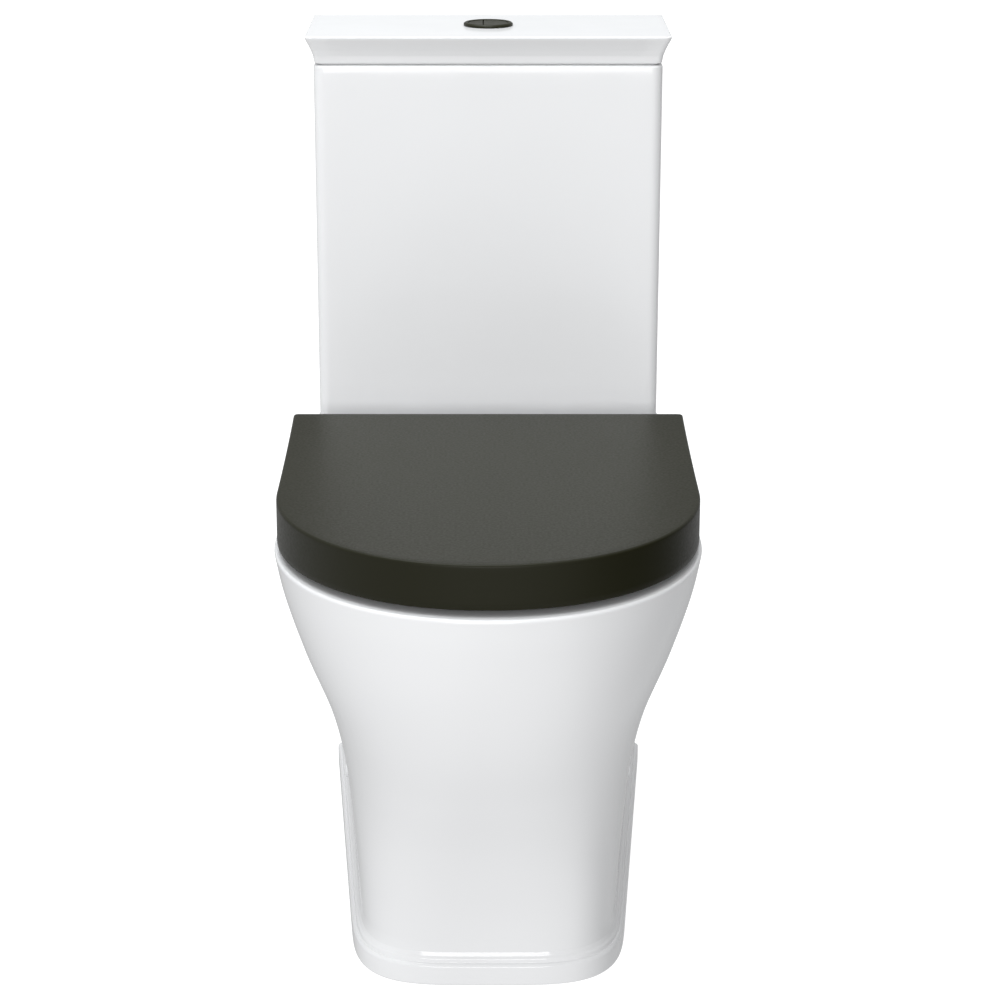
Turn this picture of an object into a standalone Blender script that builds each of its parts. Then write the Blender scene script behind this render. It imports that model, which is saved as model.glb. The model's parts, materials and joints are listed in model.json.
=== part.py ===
"""A close coupled toilet: a skirted pan, a cistern with a dual flush valve, and a wrap-over seat.

Metres, +Z up. The origin is on the floor under the centre of the bounding box, and the user faces -Y.
The wall stands at y = WALL_Y, and most places along Y are given as a distance out from that wall.
"""

import math

import bmesh
import bpy
from mathutils import Matrix, Vector

# ---- Overall sizes ----
DEPTH = 0.664
WALL_Y = DEPTH / 2
DECK_Z = 0.404
GAP = 0.0003

# ---- Pan ----
CHINA = 0.011
DECK_THICKNESS = 0.012
PLINTH_PROUD = 0.0085
PLINTH_TOP = 0.030
SIDE_STEPS = 5
FRONT_STEPS = 9
# height, half width at the wall, half width at the shoulder, shoulder, front, squareness, straightness
PAN_SECTIONS = (
    (PLINTH_TOP, 0.1545, 0.1220, 0.395, 0.5142, 4.10, 1.00),
    (0.080, 0.1555, 0.1240, 0.399, 0.5250, 3.80, 1.00),
    (0.140, 0.1570, 0.1280, 0.406, 0.5490, 3.20, 1.00),
    (0.200, 0.1595, 0.1339, 0.416, 0.5870, 2.75, 0.90),
    (0.260, 0.1630, 0.1457, 0.426, 0.6255, 2.50, 0.70),
    (0.320, 0.1665, 0.1666, 0.438, 0.6510, 2.30, 0.40),
    (0.370, 0.1700, 0.1827, 0.447, 0.6615, 2.15, 0.15),
    (DECK_Z, 0.1720, 0.1898, 0.4524, 0.6640, 2.10, 0.00),
)
# height, centre, half width and half length of the bowl's inside
BOWL_SECTIONS = (
    (0.130, 0.402, 0.036, 0.040),
    (0.170, 0.412, 0.055, 0.062),
    (0.220, 0.425, 0.082, 0.092),
    (0.280, 0.440, 0.114, 0.127),
    (0.340, 0.450, 0.137, 0.154),
    (0.380, 0.452, 0.142, 0.163),
    (DECK_Z + 0.002, 0.452, 0.138, 0.160),
)
BOWL_WALL = 0.011
# the trap: its bends' centre line radius, and the centres of the dip and the weir as distance and height
TRAP_BEND = 0.055
TRAP_DIP = (0.345, 0.165)
TRAP_WEIR = (0.235, 0.190)
TRAP_BORE = 0.036
TRAP_WALL = 0.010
OUTLET_RADIUS = 0.051
OUTLET_END = 0.055
OUTLET_Z = 0.180
CHANNEL_HALF = 0.036
CHANNEL_LOW = 0.350
CHANNEL_HIGH = 0.378
CHANNEL_END = 0.310
RECESS_RADIUS = 0.056
RECESS_Z = 0.390
FLUSH_HOLE = 0.035
SUPPLY_HOLE = 0.023
DECK_HOLE = 0.0055
RIM_ROUND = 0.004
CHANNEL_WALL = 0.011
SPIGOT_LENGTH = 0.060
BOWL_HEIGHTS = (0.130, 0.170, 0.220, 0.280, 0.340, 0.380)
HOLLOW_HEIGHTS = (-0.01, 0.03, 0.08, 0.14, 0.20, 0.26, 0.32, 0.36)

# ---- Cistern ----
CISTERN_HALF = 0.1665
CISTERN_BACK = 0.002
CISTERN_FRONT = 0.157
CISTERN_Z = 0.408
CISTERN_TOP = 0.780
CISTERN_WALL = 0.009
CISTERN_FLOOR = CISTERN_Z + 0.010
LID_HALF = 0.174
LID_FRONT = 0.162
LID_TOP = 0.808
LID_PLATE = 0.795
LID_SEAT = CISTERN_TOP + GAP
VALVE_LINE = 0.0795
VALVE_Y = WALL_Y - VALVE_LINE
BOLT_X = 0.075
FILL_X = 0.118
VALVE_HOLE = 0.032
FILL_HOLE = 0.011
LID_BACK = 0.001
LID_HOLLOW = (0.150, 0.022, 0.140)
WASHER_TOP = 0.4213
FLANGE_LOW = WASHER_TOP + GAP
FLANGE_TOP = 0.4256
TAIL_END = 0.372
NUT_TOP = DECK_Z - DECK_THICKNESS - GAP

# ---- Seat ----
SEAT_BACK = 0.2007
SEAT_BACK_HALF = 0.1888
SEAT_HALF = 0.1867
SEAT_SHOULDER = 0.4524
SEAT_FRONT = 0.657
SEAT_SQUARENESS = 2.1
SEAT_TOP = 0.450
SKIRT_Z = 0.410
SKIRT_WALL = 0.005
SEAT_PLATE = 0.444
RING_INSET = 0.0085
RING_BACK = 0.243
RING_Z = 0.4155
RING_TOP = 0.4403
OPENING_LINE = 0.437
OPENING_HALF = 0.108
OPENING_LENGTH = 0.142
HINGE_LINE = 0.222
HINGE_Y = WALL_Y - HINGE_LINE
HINGE_Z = 0.432
HINGE_X = 0.0775
PIN_RADIUS = 0.004
PILLAR_HALF = 0.0095
PILLAR_HALF_DEPTH = 0.007
KNUCKLE_RADIUS = 0.007
RING_KNUCKLE_RADIUS = 0.0075
BARREL_RADIUS = 0.008
LID_LUG_NEAR = 0.0500
LID_LUG_FAR = 0.0675
RING_LUG_FAR = 0.100
REAR_EDGE_LOW = 0.434
LID_CORNER = 0.003
RING_CORNER = 0.018
HINGE_BASE_TOP = 0.408
# distance out from the centre and from the wall of the ring's buffers, then of the lid's
RING_BUFFERS = (("front", 0.143, 0.525), ("back", 0.152, 0.330))
LID_BUFFER_X = 0.128
LID_BUFFER_LINE = 0.545

# ---- Flush controls ----
BEZEL_RADIUS = 0.024
STEM_RADIUS = 0.022
STEM_BORE = 0.0196
STEM_END = 0.770
COLLAR_FLOOR = 0.003
COLLAR_TOP = 0.8113
COLLAR_NUT_RADIUS = 0.029
SPLIT_X = -0.0048
BUTTON_RADIUS = 0.0192
BUTTON_TOP = 0.8108
BUTTON_BASE = 0.8015
ROD_X = 0.010
ROD_Y = 0.0125
ROD_RADIUS = 0.002
SPRING_RADIUS = 0.0027
SPRING_WIRE = 0.0003
SPRING_TURNS = 5
SPRING_STEPS = 10
ROCKER_X = 0.003
ROCKER_HALF_HEIGHT = 0.002
YOKE_Z = 0.716
LOST_MOTION = 0.0005
FULL_ROCKER_Z = YOKE_Z - LOST_MOTION - ROCKER_HALF_HEIGHT
HALF_ROCKER_Z = FULL_ROCKER_Z - 0.0095
LUG_Y = 0.0150
LUG_THICKNESS = 0.0028
ROCKER_REACH = 0.015
ROCKER_TAIL = 0.016
ROCKER_NEAR = 0.0105
ROCKER_FAR = 0.0145
PIVOT_PIN = 0.0018
PIVOT_HOLE = 0.0021
CAGE_INNER = 0.0315
CAGE_OUTER = 0.0395
CAGE_HEAD_LOW = 0.684
CAGE_HEAD_TOP = 0.690
POST_CIRCLE = 0.0355
POST_HALF = 0.0028
TUBE_RADIUS = 0.0150
TUBE_BORE = 0.0125
NECK_RADIUS = 0.0090
NECK_BORE = 0.0060
YOKE_REACH = 0.0215
YOKE_HALF = 0.003
YOKE_THICKNESS = 0.003

# ---- Fill valve ----
FILL_STEM = 0.0085
FILL_BORE = 0.0065
FILL_STEM_TOP = 0.690
HEAD_RADIUS = 0.0150
HEAD_TOP = 0.716
FLOAT_RADIUS = 0.0250
FLOAT_BORE = 0.0092
FLOAT_LOW = 0.600
FLOAT_TOP = 0.650
FLOAT_LINK_Y = 0.0215
FLOAT_PIVOT_Z = 0.7230
LEVER_HALF = 0.0030
LEVER_HALF_HEIGHT = 0.0025
LINK_RADIUS = 0.0015

# ---- Floor fixing ----
FIXING_LINE = 0.130
FIXING_Z = 0.045
BRACKET_HALF = 0.015
BRACKET_STEEL = 0.003
BRACKET_TOP = 0.065
BRACKET_REACH = 0.040
CAP_RADIUS = 0.0075
SCREW_RADIUS = 0.003


for leftover in list(bpy.data.objects):
    bpy.data.objects.remove(leftover)

parts = bpy.data.collections.new("close_coupled_toilet")
cutters = bpy.data.collections.new("cutters")
for collection in (parts, cutters):
    bpy.context.scene.collection.children.link(collection)


# ---- Materials ----
def material(name, colour, roughness, metallic=0.0):
    made = bpy.data.materials.new(name)
    made.use_nodes = True
    shader = made.node_tree.nodes["Principled BSDF"]
    shader.inputs["Base Color"].default_value = (*colour, 1.0)
    shader.inputs["Roughness"].default_value = roughness
    shader.inputs["Metallic"].default_value = metallic
    return made


CERAMIC = material("white_glaze", (0.86, 0.87, 0.88), 0.08)
CISTERN_GLAZE = material("cistern_glaze", (0.86, 0.87, 0.88), 0.08)
LID_GLAZE = material("cistern_lid_glaze", (0.87, 0.88, 0.89), 0.08)
SEAT_LID_PLASTIC = material("seat_lid_plastic", (0.034, 0.034, 0.028), 0.40)
SEAT_RING_PLASTIC = material("seat_ring_plastic", (0.034, 0.034, 0.028), 0.42)
BUTTON_PLASTIC = material("button_plastic", (0.040, 0.041, 0.036), 0.38)
VALVE_PLASTIC = material("valve_plastic", (0.80, 0.80, 0.78), 0.45)
VALVE_BLUE = material("valve_blue_plastic", (0.10, 0.22, 0.48), 0.45)
NUT_PLASTIC = material("nut_plastic", (0.16, 0.16, 0.17), 0.55)
RUBBER = material("black_rubber", (0.02, 0.02, 0.02), 0.80)
BUFFER_RUBBER = material("grey_rubber", (0.10, 0.10, 0.09), 0.75)
STEEL = material("stainless_steel", (0.62, 0.62, 0.60), 0.30, 1.0)
BRASS = material("brass", (0.78, 0.60, 0.30), 0.30, 1.0)
ZINC = material("zinc_plate", (0.55, 0.56, 0.58), 0.45, 1.0)
CAP_PLASTIC = material("cap_plastic", (0.84, 0.85, 0.86), 0.20)


# ---- Tools ----
def from_wall(distance):
    return WALL_Y - distance


def new_object(name, bm, finish):
    """An object made from the bmesh, in the parts collection, shaded smooth with sharp edges kept."""
    bmesh.ops.recalc_face_normals(bm, faces=bm.faces)
    mesh = bpy.data.meshes.new(name)
    bm.to_mesh(mesh)
    bm.free()
    mesh.shade_smooth()
    mesh.set_sharp_from_angle(angle=math.radians(30))
    made = bpy.data.objects.new(name, mesh)
    parts.objects.link(made)
    if finish:
        mesh.materials.append(finish)
    return made


def box(name, low, high, finish=None):
    bm = bmesh.new()
    bmesh.ops.create_cube(bm, size=1.0)
    low = Vector(low)
    high = Vector(high)
    bmesh.ops.scale(bm, vec=high - low, verts=bm.verts)
    bmesh.ops.translate(bm, vec=(low + high) / 2, verts=bm.verts)
    return new_object(name, bm, finish)


def cylinder(name, start, end, radius, finish=None, sides=24):
    """A round bar from one point to another."""
    start = Vector(start)
    end = Vector(end)
    along = end - start
    bm = bmesh.new()
    bmesh.ops.create_cone(
        bm, cap_ends=True, segments=sides, radius1=radius, radius2=radius, depth=along.length
    )
    turn = along.to_track_quat("Z", "Y").to_matrix().to_4x4()
    bmesh.ops.transform(bm, matrix=Matrix.Translation((start + end) / 2) @ turn, verts=bm.verts)
    return new_object(name, bm, finish)


def turned(name, profile, centre, finish=None, sides=20):
    """A profile of (radius, height) points, down its outer side and up its inner side, spun about Z."""
    bm = bmesh.new()
    points = [bm.verts.new((radius, 0.0, height)) for radius, height in profile]
    for first, second in zip(points, points[1:]):
        bm.edges.new((first, second))
    if min(radius for radius, height in profile) > 0:
        bm.edges.new((points[-1], points[0]))
    mesh = bpy.data.meshes.new(name)
    bm.to_mesh(mesh)
    bm.free()
    made = bpy.data.objects.new(name, mesh)
    made.location = (centre[0], centre[1], 0.0)
    parts.objects.link(made)
    screw = made.modifiers.new("turn", "SCREW")
    screw.steps = sides
    screw.render_steps = sides
    screw.use_merge_vertices = True
    screw.merge_threshold = 0.00001
    screw.use_smooth_shade = True
    if finish:
        mesh.materials.append(finish)
    return made


def ring(name, centre, inner, outer, low, high, finish, sides=20):
    profile = ((outer, high), (outer, low), (inner, low), (inner, high))
    return turned(name, profile, centre, finish, sides)


def loft(name, sections, finish=None, closed=False):
    """Skins sections of equal point counts. A closed loft joins the last section to the first."""
    bm = bmesh.new()
    rows = [[bm.verts.new(point) for point in section] for section in sections]
    pairs = list(zip(rows, rows[1:]))
    if closed:
        pairs.append((rows[-1], rows[0]))
    for lower, upper in pairs:
        for i in range(len(lower)):
            after = (i + 1) % len(lower)
            bm.faces.new((lower[i], lower[after], upper[after], upper[i]))
    if not closed:
        bm.faces.new(rows[0])
        bm.faces.new(rows[-1])
    bmesh.ops.triangulate(bm, faces=[face for face in bm.faces if len(face.verts) > 4])
    return new_object(name, bm, finish)


def tube(name, points, radius, finish=None, resolution=3):
    """A round bar along a line of points, as a mesh."""
    curve = bpy.data.curves.new(name, "CURVE")
    curve.dimensions = "3D"
    curve.bevel_depth = radius
    curve.bevel_resolution = resolution
    curve.use_fill_caps = True
    spline = curve.splines.new("POLY")
    spline.points.add(len(points) - 1)
    for place, point in zip(spline.points, points):
        place.co = (*point, 1.0)
    route = bpy.data.objects.new(name + "_route", curve)
    parts.objects.link(route)
    bpy.context.view_layer.update()
    evaluated = route.evaluated_get(bpy.context.evaluated_depsgraph_get())
    mesh = bpy.data.meshes.new_from_object(evaluated)
    bm = bmesh.new()
    bm.from_mesh(mesh)
    bmesh.ops.remove_doubles(bm, verts=bm.verts, dist=0.00001)
    made = new_object(name, bm, finish)
    made.matrix_world = route.matrix_world
    bpy.data.objects.remove(route)
    return made


def combine(target, other, operation):
    """Adds or cuts away another object, which becomes a hidden cutter."""
    parts.objects.unlink(other)
    cutters.objects.link(other)
    other.hide_render = True
    other.display_type = "WIRE"
    boolean = target.modifiers.new(other.name, "BOOLEAN")
    boolean.operation = operation
    boolean.object = other


def cut(target, *others):
    for other in others:
        combine(target, other, "DIFFERENCE")


def join(target, *others):
    for other in others:
        combine(target, other, "UNION")


def between(sections, height):
    """The section at this height, on smooth curves through the given sections."""
    if height <= sections[0][0]:
        return sections[0][1:]
    if height >= sections[-1][0]:
        return sections[-1][1:]
    i = max(k for k in range(len(sections) - 1) if sections[k][0] <= height)
    low = sections[i]
    high = sections[i + 1]
    before = sections[max(i - 1, 0)]
    after = sections[min(i + 2, len(sections) - 1)]
    span = high[0] - low[0]
    t = (height - low[0]) / span
    values = []
    for k in range(1, len(low)):
        slope_low = (high[k] - before[k]) / (high[0] - before[0]) * span
        slope_high = (after[k] - low[k]) / (after[0] - low[0]) * span
        values.append(
            (2 * t**3 - 3 * t**2 + 1) * low[k]
            + (t**3 - 2 * t**2 + t) * slope_low
            + (3 * t**2 - 2 * t**3) * high[k]
            + (t**3 - t**2) * slope_high
        )
    return values


def mirrored(half, height):
    """A closed section from a half outline of (x, distance from the wall), which ends on x = 0."""
    right = [(x, from_wall(distance), height) for x, distance in half]
    left = [(-x, y, z) for x, y, z in reversed(right[:-1])]
    return right + left


def offset_outline(half, offset):
    """Moves a half outline outwards, keeping its first point at its distance and its last on x = 0."""
    moved = []
    for i, (x, distance) in enumerate(half):
        before = half[max(i - 1, 0)]
        after = half[i + 1] if i + 1 < len(half) else (-half[i - 1][0], half[i - 1][1])
        along = Vector((after[0] - before[0], after[1] - before[1])).normalized()
        if i == 0:
            moved.append((x + offset, distance))
        else:
            moved.append((x + along.y * offset, distance - along.x * offset))
    moved[-1] = (0.0, moved[-1][1])
    return moved


def front_curve(half, start, front, squareness, steps, taper=0.0):
    """A quarter of a superellipse from (half, start) to (0, front); taper narrows it per metre."""
    points = []
    for step in range(1, steps + 1):
        angle = math.pi / 2 * step / steps
        along = (front - start) * math.sin(angle) ** (2 / squareness)
        across = max(math.cos(angle), 0.0) ** (2 / squareness)
        points.append(((half + taper * along) * across, start + along))
    points[-1] = (0.0, front)
    return points


def rounded_rectangle(half, back, front, back_radius, front_radius, steps=4):
    """Half outline of a rectangle with round corners, wall side first, ending on x = 0."""
    outline = [(half * 0.5, back)]
    for step in range(steps + 1):
        angle = math.pi / 2 * step / steps
        outline.append((
            half - back_radius * (1 - math.sin(angle)),
            back + back_radius * (1 - math.cos(angle)),
        ))
    for step in range(steps + 1):
        angle = math.pi / 2 * step / steps
        outline.append((
            half - front_radius * (1 - math.cos(angle)),
            front - front_radius * (1 - math.sin(angle)),
        ))
    outline.append((0.0, front))
    return outline


# ---- Pan ----
def pan_outline(height, offset=0.0):
    wall_half, shoulder_half, shoulder, front, squareness, straightness = between(PAN_SECTIONS, height)
    half = []
    for step in range(SIDE_STEPS + 1):
        t = step / SIDE_STEPS
        share = straightness * t + (1 - straightness) * (1 - (1 - t) ** 2.5)
        half.append((wall_half + (shoulder_half - wall_half) * share, shoulder * t))
    taper = straightness * (shoulder_half - wall_half) / shoulder
    half += front_curve(shoulder_half, shoulder, front, squareness, FRONT_STEPS, taper)
    return offset_outline(half, offset)


def pan_body():
    plinth = (
        (0.000, PLINTH_PROUD),
        (0.0185, PLINTH_PROUD),
        (0.0230, 0.0074),
        (0.0258, 0.0045),
        (0.0300, 0.0022),
        (0.0340, 0.0),
    )
    walls = [(0.06 + 0.034 * step, 0.0) for step in range(10)]
    rim = ((DECK_Z - 0.006, 0.0), (DECK_Z - 0.0018, -0.0012), (DECK_Z, -RIM_ROUND))
    sections = [
        mirrored(pan_outline(height, offset), height) for height, offset in (*plinth, *walls, *rim)
    ]
    return loft("pan", sections, CERAMIC)


def pan_hollow():
    """The space inside the skirt, open below and at the wall."""
    sections = []
    for height in (*HOLLOW_HEIGHTS, DECK_Z - DECK_THICKNESS):
        half = pan_outline(height, -CHINA)
        half[0] = (half[0][0], -0.02)
        sections.append(mirrored(half, height))
    return loft("pan_hollow", sections)


def bowl_form(name, wall, heights, sides=28):
    sections = []
    for height in heights:
        centre, half_width, half_length = between(BOWL_SECTIONS, height)
        section = []
        for step in range(sides):
            angle = math.tau * step / sides
            section.append((
                (half_width + wall) * math.cos(angle),
                from_wall(centre) + (half_length + wall) * math.sin(angle),
                height - wall * (height == heights[0]),
            ))
        sections.append(section)
    return loft(name, sections)


def bend(centre, start, end, steps):
    """Points of an arc of the trap's centre line, as distance and height; the angles are in degrees."""
    points = []
    for step in range(steps + 1):
        angle = math.radians(start + (end - start) * step / steps)
        points.append((centre[0] + TRAP_BEND * math.cos(angle), centre[1] + TRAP_BEND * math.sin(angle)))
    return points


def trap_route(above, end):
    """The trap's centre line: down from the sump, round the dip, over the weir and out at the wall."""
    dip = bend(TRAP_DIP, 0, -180, 8)
    weir = bend(TRAP_WEIR, 0, 135, 6)
    leaving = math.radians(-45)
    level = OUTLET_Z + TRAP_BEND
    drop = weir[-1][1] - (level + TRAP_BEND * math.sin(leaving))
    outlet = bend((weir[-1][0] - drop - TRAP_BEND * math.cos(leaving), level), -45, -90, 3)
    route = [(dip[0][0], dip[0][1] + above), *dip, *weir, *outlet, (end, OUTLET_Z)]
    return [(0.0, from_wall(distance), height) for distance, height in route]


def pan():
    made = pan_body()
    cut(made, pan_hollow())
    join(
        made,
        box(
            "flush_channel_wall",
            (-RECESS_RADIUS - 0.002, from_wall(CHANNEL_END), CHANNEL_LOW - CHANNEL_WALL),
            (RECESS_RADIUS + 0.002, from_wall(0.016), DECK_Z - 0.002),
        ),
        bowl_form("bowl_shell", BOWL_WALL, (*BOWL_HEIGHTS, DECK_Z - 0.004)),
        tube("trap_wall", trap_route(0.002, OUTLET_END + 0.020), TRAP_BORE + TRAP_WALL, resolution=5),
        cylinder(
            "outlet_spigot",
            (0.0, from_wall(OUTLET_END), OUTLET_Z),
            (0.0, from_wall(OUTLET_END + SPIGOT_LENGTH), OUTLET_Z),
            OUTLET_RADIUS,
        ),
    )
    centre = (0.0, from_wall(VALVE_LINE))
    cut(
        made,
        bowl_form("bowl_inside", 0.0, (*BOWL_HEIGHTS, DECK_Z, DECK_Z + 0.01)),
        tube("trap_bore", trap_route(0.012, OUTLET_END - 0.020), TRAP_BORE, resolution=4),
        box(
            "flush_channel",
            (-CHANNEL_HALF, from_wall(CHANNEL_END), CHANNEL_LOW),
            (CHANNEL_HALF, from_wall(VALVE_LINE - CHANNEL_HALF), CHANNEL_HIGH),
        ),
        cylinder("flush_hole", (*centre, CHANNEL_LOW + 0.001), (*centre, DECK_Z), FLUSH_HOLE),
        cylinder("gasket_recess", (*centre, RECESS_Z), (*centre, DECK_Z + 0.01), RECESS_RADIUS, sides=32),
        cylinder("supply_hole", (FILL_X, VALVE_Y, 0.38), (FILL_X, VALVE_Y, DECK_Z + 0.01), SUPPLY_HOLE),
    )
    for side, word in ((-1, "l"), (1, "r")):
        bolt = (side * BOLT_X, VALVE_Y)
        stud = (side * HINGE_X, HINGE_Y)
        cut(
            made,
            cylinder("bolt_hole_" + word, (*bolt, 0.38), (*bolt, DECK_Z + 0.01), DECK_HOLE, sides=16),
            cylinder("stud_hole_" + word, (*stud, 0.38), (*stud, DECK_Z + 0.01), DECK_HOLE, sides=16),
            cylinder(
                "fixing_hole_" + word,
                (side * 0.110, from_wall(FIXING_LINE), FIXING_Z),
                (side * 0.180, from_wall(FIXING_LINE), FIXING_Z),
                0.006,
                sides=16,
            ),
        )
    return made


# ---- Cistern ----
def cistern():
    rows = (
        (CISTERN_Z, 0.0015),
        (CISTERN_Z + 0.0015, 0.0),
        (CISTERN_TOP - 0.0025, 0.0),
        (CISTERN_TOP, 0.002),
    )
    sections = []
    for height, inset in rows:
        half = rounded_rectangle(
            CISTERN_HALF - inset, CISTERN_BACK + inset, CISTERN_FRONT - inset, 0.004, 0.011
        )
        sections.append(mirrored(half, height))
    made = loft("cistern", sections, CISTERN_GLAZE)
    inside = rounded_rectangle(
        CISTERN_HALF - CISTERN_WALL, CISTERN_BACK + CISTERN_WALL, CISTERN_FRONT - CISTERN_WALL, 0.006, 0.008
    )
    cut(
        made,
        loft("cistern_inside", [mirrored(inside, CISTERN_FLOOR), mirrored(inside, CISTERN_TOP + 0.01)]),
        cylinder("flush_valve_hole", (0.0, VALVE_Y, 0.40), (0.0, VALVE_Y, 0.43), VALVE_HOLE),
        cylinder("fill_valve_hole", (FILL_X, VALVE_Y, 0.40), (FILL_X, VALVE_Y, 0.43), FILL_HOLE, sides=16),
    )
    for side, word in ((-1, "l"), (1, "r")):
        bolt = (side * BOLT_X, VALVE_Y)
        cut(made, cylinder("cistern_bolt_hole_" + word, (*bolt, 0.40), (*bolt, 0.43), DECK_HOLE, sides=16))
    return made


def cistern_lid():
    """The lid: its front and sides slope in to a foot that stands on the cistern's rim."""
    rows = (
        (LID_SEAT, 0.0120),
        (0.7825, 0.0120),
        (0.7825, 0.0084),
        (0.7840, 0.0082),
        (0.7900, 0.0068),
        (0.7950, 0.0050),
        (0.8000, 0.0027),
        (0.8045, 0.0007),
        (0.8065, 0.0),
        (LID_TOP, 0.0013),
    )
    sections = []
    for height, inset in rows:
        back = LID_BACK + max(inset - 0.0082, 0.0) * 3
        half = rounded_rectangle(LID_HALF - inset, back, LID_FRONT - inset, 0.002, 0.006)
        sections.append(mirrored(half, height))
    made = loft("cistern_lid", sections, LID_GLAZE)
    hollow = rounded_rectangle(*LID_HOLLOW, 0.008, 0.010)
    cut(
        made,
        loft("lid_hollow", [mirrored(hollow, LID_SEAT - 0.01), mirrored(hollow, LID_PLATE)]),
        cylinder("button_hole", (0.0, VALVE_Y, 0.78), (0.0, VALVE_Y, 0.82), STEM_RADIUS + 0.0005, sides=32),
    )
    return made


# ---- Seat ----
def seat_outline(inset, back, back_half, corner):
    """Half outline of the D-shaped seat, inset from the lid's edge, with a round rear corner."""
    half = [(back_half * 0.5, back)]
    for step in range(4):
        angle = math.pi / 2 * step / 3
        half.append((
            back_half - inset - corner * (1 - math.sin(angle)),
            back + corner * (1 - math.cos(angle)),
        ))
    half.append((SEAT_HALF - inset, SEAT_SHOULDER - 0.06))
    half.append((SEAT_HALF - inset, SEAT_SHOULDER))
    half += front_curve(SEAT_HALF - inset, SEAT_SHOULDER, SEAT_FRONT - inset, SEAT_SQUARENESS, 11)
    return half


def seat_lid():
    rows = ((SKIRT_Z, 0.0006), (SKIRT_Z + 0.001, 0.0), (0.4475, 0.0), (0.4493, 0.0009), (SEAT_TOP, 0.0030))
    sections = []
    for height, inset in rows:
        half = seat_outline(inset, SEAT_BACK + inset, SEAT_BACK_HALF, LID_CORNER)
        sections.append(mirrored(half, height))
    made = loft("seat_lid", sections, SEAT_LID_PLASTIC)
    hollow = seat_outline(SKIRT_WALL, SEAT_BACK + 0.004, SEAT_BACK_HALF, 0.002)
    cut(
        made,
        loft("lid_inside", [mirrored(hollow, SKIRT_Z - 0.01), mirrored(hollow, SEAT_PLATE)]),
        box("rear_gap", (-0.178, from_wall(0.206), 0.40), (0.178, from_wall(0.190), REAR_EDGE_LOW)),
    )
    for side, word in ((-1, "l"), (1, "r")):
        near = side * 0.062
        far = side * 0.093
        inner = side * 0.172
        outer = side * 0.200
        notch_low = (min(near, far), from_wall(0.206), 0.42)
        notch_high = (max(near, far), from_wall(0.190), SEAT_PLATE + GAP)
        corner_low = (min(inner, outer), from_wall(0.226), 0.40)
        corner_high = (max(inner, outer), from_wall(0.190), 0.4165)
        cut(made, box("pillar_notch_" + word, notch_low, notch_high))
        cut(made, box("corner_notch_" + word, corner_low, corner_high))
        lug_near = side * LID_LUG_NEAR
        lug_far = side * LID_LUG_FAR
        lug_low = (min(lug_near, lug_far), HINGE_Y - 0.0065, HINGE_Z)
        lug_high = (max(lug_near, lug_far), HINGE_Y + 0.0065, SEAT_PLATE + 0.002)
        join(
            made,
            box("lid_lug_" + word, lug_low, lug_high),
            cylinder(
                "lid_knuckle_" + word,
                (lug_near, HINGE_Y, HINGE_Z),
                (lug_far, HINGE_Y, HINGE_Z),
                KNUCKLE_RADIUS,
            ),
        )
        cut(made, pin_hole("lid_pin_hole_" + word, side, 0.040, 0.070))
    return made


def pin_hole(name, side, near, far):
    start = (side * near, HINGE_Y, HINGE_Z)
    end = (side * far, HINGE_Y, HINGE_Z)
    return cylinder(name, start, end, PIN_RADIUS + GAP)


def seat_ring():
    """The ring: a closed loft round the outer edge, over the top and down the inner edge."""
    outer = ((RING_Z, 0.002), (RING_Z + 0.002, 0.0), (0.4360, 0.0), (0.4392, 0.0018), (RING_TOP, 0.0060))
    inner = ((RING_TOP, -0.0100), (0.4385, -0.0040), (0.4340, 0.0), (RING_Z + 0.002, 0.0), (RING_Z, -0.002))
    sections = []
    for height, inset in outer:
        half = seat_outline(RING_INSET + inset, RING_BACK + inset, SEAT_BACK_HALF, RING_CORNER)
        sections.append(mirrored(half, height))
    count = len(seat_outline(0.0, RING_BACK, SEAT_BACK_HALF, RING_CORNER))
    for height, inset in inner:
        half = []
        for step in range(count):
            angle = math.pi * (step + 0.5) / (count - 0.5)
            half.append((
                (OPENING_HALF - inset) * math.sin(angle),
                OPENING_LINE - (OPENING_LENGTH - inset) * math.cos(angle),
            ))
        half[-1] = (0.0, half[-1][1])
        sections.append(mirrored(half, height))
    made = loft("seat_ring", sections, SEAT_RING_PLASTIC, closed=True)
    for side, word in ((-1, "l"), (1, "r")):
        near = side * (HINGE_X + PILLAR_HALF + 0.0005)
        far = side * RING_LUG_FAR
        low = (min(near, far), from_wall(RING_BACK + 0.004), HINGE_Z - KNUCKLE_RADIUS)
        high = (max(near, far), HINGE_Y, HINGE_Z + KNUCKLE_RADIUS)
        join(
            made,
            box("ring_lug_" + word, low, high),
            cylinder(
                "ring_knuckle_" + word,
                (near, HINGE_Y, HINGE_Z),
                (far, HINGE_Y, HINGE_Z),
                RING_KNUCKLE_RADIUS,
            ),
        )
        cut(made, pin_hole("ring_pin_hole_" + word, side, 0.080, 0.120))
    return made


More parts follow.
